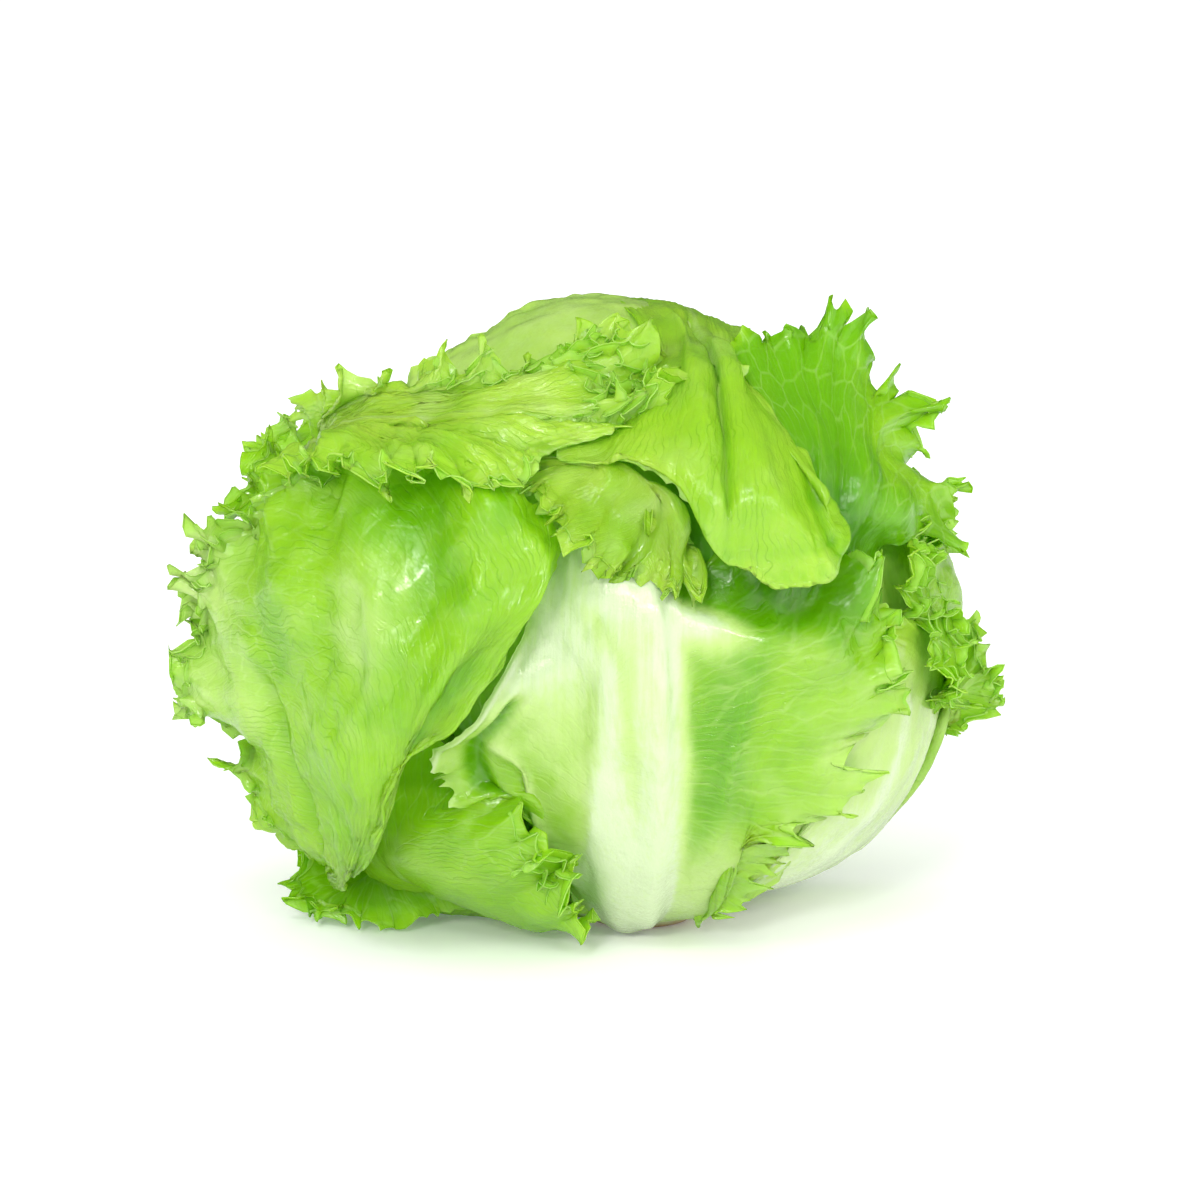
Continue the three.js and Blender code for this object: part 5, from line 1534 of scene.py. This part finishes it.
def floor_material(name, stage):
    """Plain pale matt floor, with the faintest mottling."""
    nodes = Nodes(name)
    faint = nodes.noise(nodes.place(), 60.0) * 0.01
    tone = nodes.mix(faint, stage.floor, (0.9, 0.9, 0.9))
    inputs = {
        "Base Color": tone,
        "Roughness": 0.8,
        "Emission Color": (1.0, 1.0, 1.0, 1.0),
        "Emission Strength": FLOOR_GLOW,
    }
    return nodes.end(nodes.add("ShaderNodeBsdfPrincipled", None, inputs))


# ---------------------------------------------------------------- heart and stem
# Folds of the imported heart: how many, their twist from pole to pole in turns, the height of the step
# where one ends, how far the body stays inside the heart's ellipsoid, and its low blisters.
FOLDS = {"count": 3, "twist": 0.35, "step": 2.2, "inset": 6, "blister": 0.5, "blister_size": 22}
HEART_MESH = {"around": 144, "levels": 96, "top_rise": 88}


def heart_points(bearing, rise):
    """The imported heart: off its ellipsoid by a step where each folded leaf ends, with low blisters."""
    turn = FOLDS["count"] * (bearing / (2 * math.pi) + FOLDS["twist"] * np.sin(rise))
    step = turn - np.floor(turn)
    rounded = step * smoothstep(1.0, 0.9, step)
    placed = places(np.stack([np.degrees(bearing), np.degrees(rise), np.zeros_like(rise)], -1))
    blisters = FOLDS["blister"] * lumps(off_heart(placed), FOLDS["blister_size"], 3.0)
    placed[..., 3] = FOLDS["step"] * rounded * np.cos(rise) + blisters - FOLDS["inset"]
    return off_heart(placed)


def closed_ball(ring_points, bottom, top):
    """Quads and triangles of rings from bottom to top, each ring running the same way round, closed by
    one vertex at each pole."""
    levels, around = ring_points.shape[:2]
    index = np.arange(levels * around).reshape(levels, around)
    beside = np.roll(index, -1, 1)
    quads = np.stack([index[:-1], beside[:-1], beside[1:], index[1:]], -1).reshape(-1, 4)
    low, high = levels * around, levels * around + 1
    fan_low = np.stack([np.full(around, low), beside[0], index[0]], 1)
    fan_high = np.stack([np.full(around, high), index[-1], beside[-1]], 1)
    points = np.concatenate([ring_points.reshape(-1, 3), [bottom, top]])
    return points, quads, np.concatenate([fan_low, fan_high])


HEART_TONES = {"pale": 0.25, "lush": 0.75, "margin": 30.0, "veiny": 0.0}


def heart_piece(material):
    """The heart's rings, evenly spaced in rise, pale throughout."""
    around, levels, steep = HEART_MESH["around"], HEART_MESH["levels"], HEART_MESH["top_rise"]
    rise = np.radians(np.linspace(-steep, steep, levels))[:, None] + np.zeros(around)
    bearing = np.linspace(0, 2 * math.pi, around, endpoint=False) + np.zeros((levels, 1))
    rings = heart_points(bearing, rise)
    bottom, top = rings[0].mean(0), rings[-1].mean(0)
    points, quads, triangles = closed_ball(rings, bottom, top)
    count = len(points)
    attributes = {key: np.full(count, value) for key, value in HEART_TONES.items()}
    uv = points[:, [2, 0]] / VEIN_UNIT
    made = mesh_object("heart_folded", points, quads, triangles, material, attributes, uv)
    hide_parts("heart")
    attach(made, "root")


# The stem's outline as radius and height, from its cut face up; how much its sides swell, and how far
# it stays inside the plain solid.
STEM_PROFILE = np.array([
    [3.0, 0.0], [7.0, 0.0], [11.0, 0.0], [13.0, 0.05], [14.4, 0.45], [15.5, 1.3], [16.2, 2.6],
    [16.4, 5.0], [16.4, 8.5], [14.0, 11.5], [11.2, 15.0], [8.6, 18.5], [6.5, 20.2], [3.0, 20.9],
])
STEM_TOP = 21
STEM_COLUMNS = 96
STEM_RIDGE = 0.5
STEM_INSET = 0.25


def stem_piece(material):
    """The stem turned round +Z: a cut face, a rounded bevel, its waist and its shoulder. Its sides swell
    in six low uneven ridges, by a sine of six times the angle, which fade out at the face."""
    turn = np.linspace(0, 2 * math.pi, STEM_COLUMNS, endpoint=False)
    radius, height = STEM_PROFILE[:, :1], STEM_PROFILE[:, 1:]
    swell = STEM_RIDGE * np.sin(6 * turn + 0.4 * np.sin(2 * turn)) * smoothstep(0.4, 3.0, height)
    reach = radius + swell - STEM_INSET
    rings = np.stack([reach * np.cos(turn), reach * np.sin(turn), height + 0 * turn], -1)
    points, quads, triangles = closed_ball(rings, [0, 0, 0], [0, 0, STEM_TOP])
    made = mesh_object("stem_cut", points, quads, triangles, material)
    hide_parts("stem")
    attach(made, "root")


# ---------------------------------------------------------------- what a user would change
def length_prop(name, text, default):
    """A length in metres."""
    return bpy.props.FloatProperty(
        name=name, description=text, default=default, unit="LENGTH", min=0, precision=5
    )


def share_prop(name, text, default):
    """A strength or share without a unit."""
    return bpy.props.FloatProperty(name=name, description=text, default=default, min=0, soft_max=2)


def tint_prop(name, text, default):
    """A colour."""
    return bpy.props.FloatVectorProperty(
        name=name, description=text, default=default, subtype="COLOR", min=0, max=1
    )


class LettuceShape(bpy.types.PropertyGroup):
    """Sizes of the leaves' fine detail."""

    blade: length_prop("Blade", "Thickness of a leaf blade away from its margin", 0.0006)
    pitch: length_prop("Mesh pitch", "Distance between the mesh's columns along a margin", 0.00068)
    tooth: share_prop("Teeth", "Depth of the margin's teeth, against the usual", 1.0)
    curl: share_prop("Curls", "Height of the margin's small curls, against the usual", 1.0)
    pucker: share_prop("Blisters", "Height of the blisters between veins, against the usual", 1.0)


class LettuceColours(bpy.types.PropertyGroup):
    """Colours of the leaf tissue."""

    light: tint_prop("Light leaf", "Light yellow-green of thin tissue", (0.52, 0.745, 0.055))
    leaf: tint_prop("Leaf", "Green of most of the blade", (0.345, 0.63, 0.012))
    # Deep and dark green are partly painted shade: patches and furrows in hollows and creases push the
    # tissue into them. The dark green is mostly painted shade, and mottling brings a little of it into
    # the deepest leaves.
    deep: tint_prop("Deep leaf", "Deep green between the veins of old tissue", (0.165, 0.45, 0.001))
    dark: tint_prop("Dark", "Leaf tissue in the deepest folds", (0.03, 0.2, 0.001))
    pale: tint_prop("Pale leaf", "Pale green near the ribs", (0.6, 0.78, 0.255))
    rib: tint_prop("Rib", "Cream white of thick ribs", (0.7, 0.8, 0.53))
    vein: tint_prop("Vein", "Pale green of the veins", (0.6, 0.8, 0.23))
    margin: tint_prop("Margin", "Thin pale line along the margin", (0.60, 0.82, 0.24))
    through: tint_prop("Light through", "Colour of the light through a blade", (0.62, 0.96, 0.02))
    stem: tint_prop("Stem", "Cream of the cut stem", (0.62, 0.6, 0.33))
    cut: tint_prop("Cut", "Brown of the stem's cut face", (0.30, 0.17, 0.06))


class LettuceStage(bpy.types.PropertyGroup):
    """Floor, light and camera."""

    floor: tint_prop("Floor", "Colour of the plain floor", (0.96, 0.96, 0.96))
    backdrop: share_prop("Backdrop", "Brightness of the plain background", 1.1)
    sky: share_prop("Sky", "Strength of the even light from all round", 1.02)
    reflected: share_prop("Reflected", "Share of the even light that shows in reflections", 0.12)
    key: share_prop("Key", "Strength of the soft key light", 0.55)
    glint: share_prop("Glint", "Strength of the harder light that makes the gloss", 1.05)
    side_glint: share_prop("Side glint", "Strength of the second hard light, from the right", 0.5)
    fill: share_prop("Fill", "Strength of the soft fill light", 0.7)
    distance: length_prop("Distance", "From the camera to the middle of the view", 1.2)
    elevation: bpy.props.FloatProperty(
        name="Elevation",
        description="Camera's height above the horizon",
        default=math.radians(10),
        subtype="ANGLE",
    )
    view_width: length_prop("View width", "Width of the view at the middle of the head", 0.336)


# ---------------------------------------------------------------- operators
def tissue(kind, colours):
    """The leaf material of a kind, made once."""
    name = kind + "_leaf_tissue"
    return bpy.data.materials.get(name) or leaf_material(name, colours, TISSUES[kind])


def build_leaves(scene, *names):
    """Each of the named leaves, in the material of its kind."""
    for name in names:
        leaf = LEAVES[name]
        kind = "closed" if leaf.get("closed") else leaf.get("tissue", "open")
        leaf_piece(name, scene.lettuce_shape, tissue(kind, scene.lettuce_colours))
    return {"FINISHED"}


class LETTUCE_OT_closed_leaves(bpy.types.Operator):
    """Build the smooth leaves closed over the head"""

    bl_idname = "lettuce.closed_leaves"
    bl_label = "Closed leaves"

    def execute(self, context):
        return build_leaves(context.scene, "crown_back_leaf", "crown_leaf", "right_head_leaf")


class LETTUCE_OT_front_leaves(bpy.types.Operator):
    """Build the white-ribbed front leaf and the low leaf beside it"""

    bl_idname = "lettuce.front_leaves"
    bl_label = "Front leaves"

    def execute(self, context):
        return build_leaves(context.scene, "front_leaf", "low_left_leaf")


class LETTUCE_OT_hood_leaves(bpy.types.Operator):
    """Build the folded hood and the curtain below it"""

    bl_idname = "lettuce.hood_leaves"
    bl_label = "Hood leaves"

    def execute(self, context):
        return build_leaves(context.scene, "brow_leaf", "curtain_leaf")


class LETTUCE_OT_right_leaves(bpy.types.Operator):
    """Build the upright fan and the leaves of the right flank"""

    bl_idname = "lettuce.right_leaves"
    bl_label = "Right leaves"

    def execute(self, context):
        return build_leaves(context.scene, "right_fan_leaf", "right_edge_leaf", "right_low_leaf")


class LETTUCE_OT_left_leaves(bpy.types.Operator):
    """Build the great outer leaf, the crest and the leaf on the floor"""

    bl_idname = "lettuce.left_leaves"
    bl_label = "Left leaves"

    def execute(self, context):
        return build_leaves(context.scene, "floor_leaf", "left_wrapper_leaf", "crest_leaf")


class LETTUCE_OT_back_leaves(bpy.types.Operator):
    """Build the wrapper leaves round the back"""

    bl_idname = "lettuce.back_leaves"
    bl_label = "Back leaves"

    def execute(self, context):
        return build_leaves(
            context.scene, "back_leaf", "back_right_leaf", "left_back_leaf", "back_low_leaf"
        )


class LETTUCE_OT_heart(bpy.types.Operator):
    """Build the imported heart"""

    bl_idname = "lettuce.heart"
    bl_label = "Heart"

    def execute(self, context):
        heart_piece(tissue("closed", context.scene.lettuce_colours))
        return {"FINISHED"}


class LETTUCE_OT_stem(bpy.types.Operator):
    """Build the cut stem"""

    bl_idname = "lettuce.stem"
    bl_label = "Stem"

    def execute(self, context):
        stem_piece(stem_material("stem_flesh", context.scene.lettuce_colours))
        return {"FINISHED"}


def soft_light(name, strength, spread, place):
    """Parallel light towards the origin from the direction of a place, softened by a wide disc."""
    data = bpy.data.lights.new(name, "SUN")
    data.energy, data.angle = strength, math.radians(spread)
    lamp = bpy.data.objects.new(name, data)
    bpy.context.scene.collection.objects.link(lamp)
    lamp.location = place
    x, y, z = place
    lamp.rotation_euler = (math.atan2(math.hypot(x, y), z), 0, math.atan2(x, -y))


def even_light(stage):
    """Even white light from all round, dimmer in reflections, behind a plain brighter background."""
    world = bpy.data.worlds.new("even_light")
    world.use_nodes = True
    tree = world.node_tree
    rays = tree.nodes.new("ShaderNodeLightPath").outputs
    seen = tree.nodes["Background"].outputs[0]
    seen.node.inputs["Color"].default_value = (1, 1, 1, 1)
    seen.node.inputs["Strength"].default_value = stage.sky
    others = {"Is Glossy Ray": stage.sky * stage.reflected, "Is Camera Ray": stage.backdrop}
    for kind, strength in others.items():
        other = tree.nodes.new("ShaderNodeBackground")
        other.inputs["Color"].default_value = (1, 1, 1, 1)
        other.inputs["Strength"].default_value = strength
        mix = tree.nodes.new("ShaderNodeMixShader")
        for value, socket in zip((rays[kind], seen, other.outputs[0]), mix.inputs):
            tree.links.new(value, socket)
        seen = mix.outputs[0]
    tree.links.new(seen, tree.nodes["World Output"].inputs["Surface"])
    return world


FLOOR_REACH = 4.0  # metres from the origin to each side
VIEW_TARGET = (-0.0112, 0.0, 0.0913)
SENSOR = 36.0  # millimetres
# The suns: the width in degrees of the disc that softens each, and the place that it shines from.
SUNS = {
    "key": {"spread": 16, "place": (-0.3, -0.85, 1.0)},
    "glint": {"spread": 9, "place": (-0.25, -1.0, 0.45)},
    "side_glint": {"spread": 9, "place": (0.42, -1.0, 0.5)},
    "fill": {"spread": 60, "place": (1.0, -0.45, 0.35)},
}


def floor_piece(stage):
    """A plain square floor."""
    corners = FLOOR_REACH / MM * np.array([[-1, -1, 0], [1, -1, 0], [1, 1, 0], [-1, 1, 0]])
    quad, no_triangles = np.array([[0, 1, 2, 3]]), np.zeros((0, 3), int)
    return mesh_object("floor", corners, quad, no_triangles, floor_material("floor_paint", stage))


def view_camera(stage):
    """A camera that looks at the middle of the view from -Y, from a distance and at an elevation."""
    data = bpy.data.cameras.new("camera")
    data.sensor_width = SENSOR
    data.lens = SENSOR * stage.distance / stage.view_width
    camera = bpy.data.objects.new("camera", data)
    bpy.context.scene.collection.objects.link(camera)
    rise = stage.elevation
    offset = stage.distance * np.array([0, -math.cos(rise), math.sin(rise)])
    camera.location = np.add(VIEW_TARGET, offset)
    camera.rotation_euler = (math.pi / 2 - rise, 0, 0)
    return camera


class LETTUCE_OT_stage(bpy.types.Operator):
    """Build the floor, the even light, the four suns and the camera"""

    bl_idname = "lettuce.stage"
    bl_label = "Stage"

    def execute(self, context):
        scene, stage = context.scene, context.scene.lettuce_stage
        floor = floor_piece(stage)
        scene.world = even_light(stage)
        for name, sun in SUNS.items():
            soft_light(name, getattr(stage, name), **sun)
        scene.view_settings.view_transform = "Standard"
        scene.camera = view_camera(stage)
        return {"FINISHED"}


OPERATORS = (
    LETTUCE_OT_closed_leaves,
    LETTUCE_OT_front_leaves,
    LETTUCE_OT_hood_leaves,
    LETTUCE_OT_right_leaves,
    LETTUCE_OT_left_leaves,
    LETTUCE_OT_back_leaves,
    LETTUCE_OT_heart,
    LETTUCE_OT_stem,
    LETTUCE_OT_stage,
)
GROUPS = {
    "lettuce_shape": LettuceShape,
    "lettuce_colours": LettuceColours,
    "lettuce_stage": LettuceStage,
}


class LETTUCE_PT_panel(bpy.types.Panel):
    """Lists the head's sizes and colours, and a button for each group of pieces"""

    bl_idname = "LETTUCE_PT_panel"
    bl_label = "Crisphead Lettuce"
    bl_space_type = "VIEW_3D"
    bl_region_type = "UI"
    bl_category = "Lettuce"

    def draw(self, context):
        for key, group in GROUPS.items():
            box = self.layout.box()
            for name in group.__annotations__:
                box.prop(getattr(context.scene, key), name)
        for operator in OPERATORS:
            self.layout.operator(operator.bl_idname)


def register():
    for cls in (*GROUPS.values(), *OPERATORS, LETTUCE_PT_panel):
        bpy.utils.register_class(cls)
    for key, group in GROUPS.items():
        setattr(bpy.types.Scene, key, bpy.props.PointerProperty(type=group))


def unregister():
    for key in GROUPS:
        delattr(bpy.types.Scene, key)
    for cls in reversed((*GROUPS.values(), *OPERATORS, LETTUCE_PT_panel)):
        bpy.utils.unregister_class(cls)


def main():
    register()
    for operator in OPERATORS:
        category, name = operator.bl_idname.split(".")
        getattr(getattr(bpy.ops, category), name)()


if __name__ == "__main__":
    main()
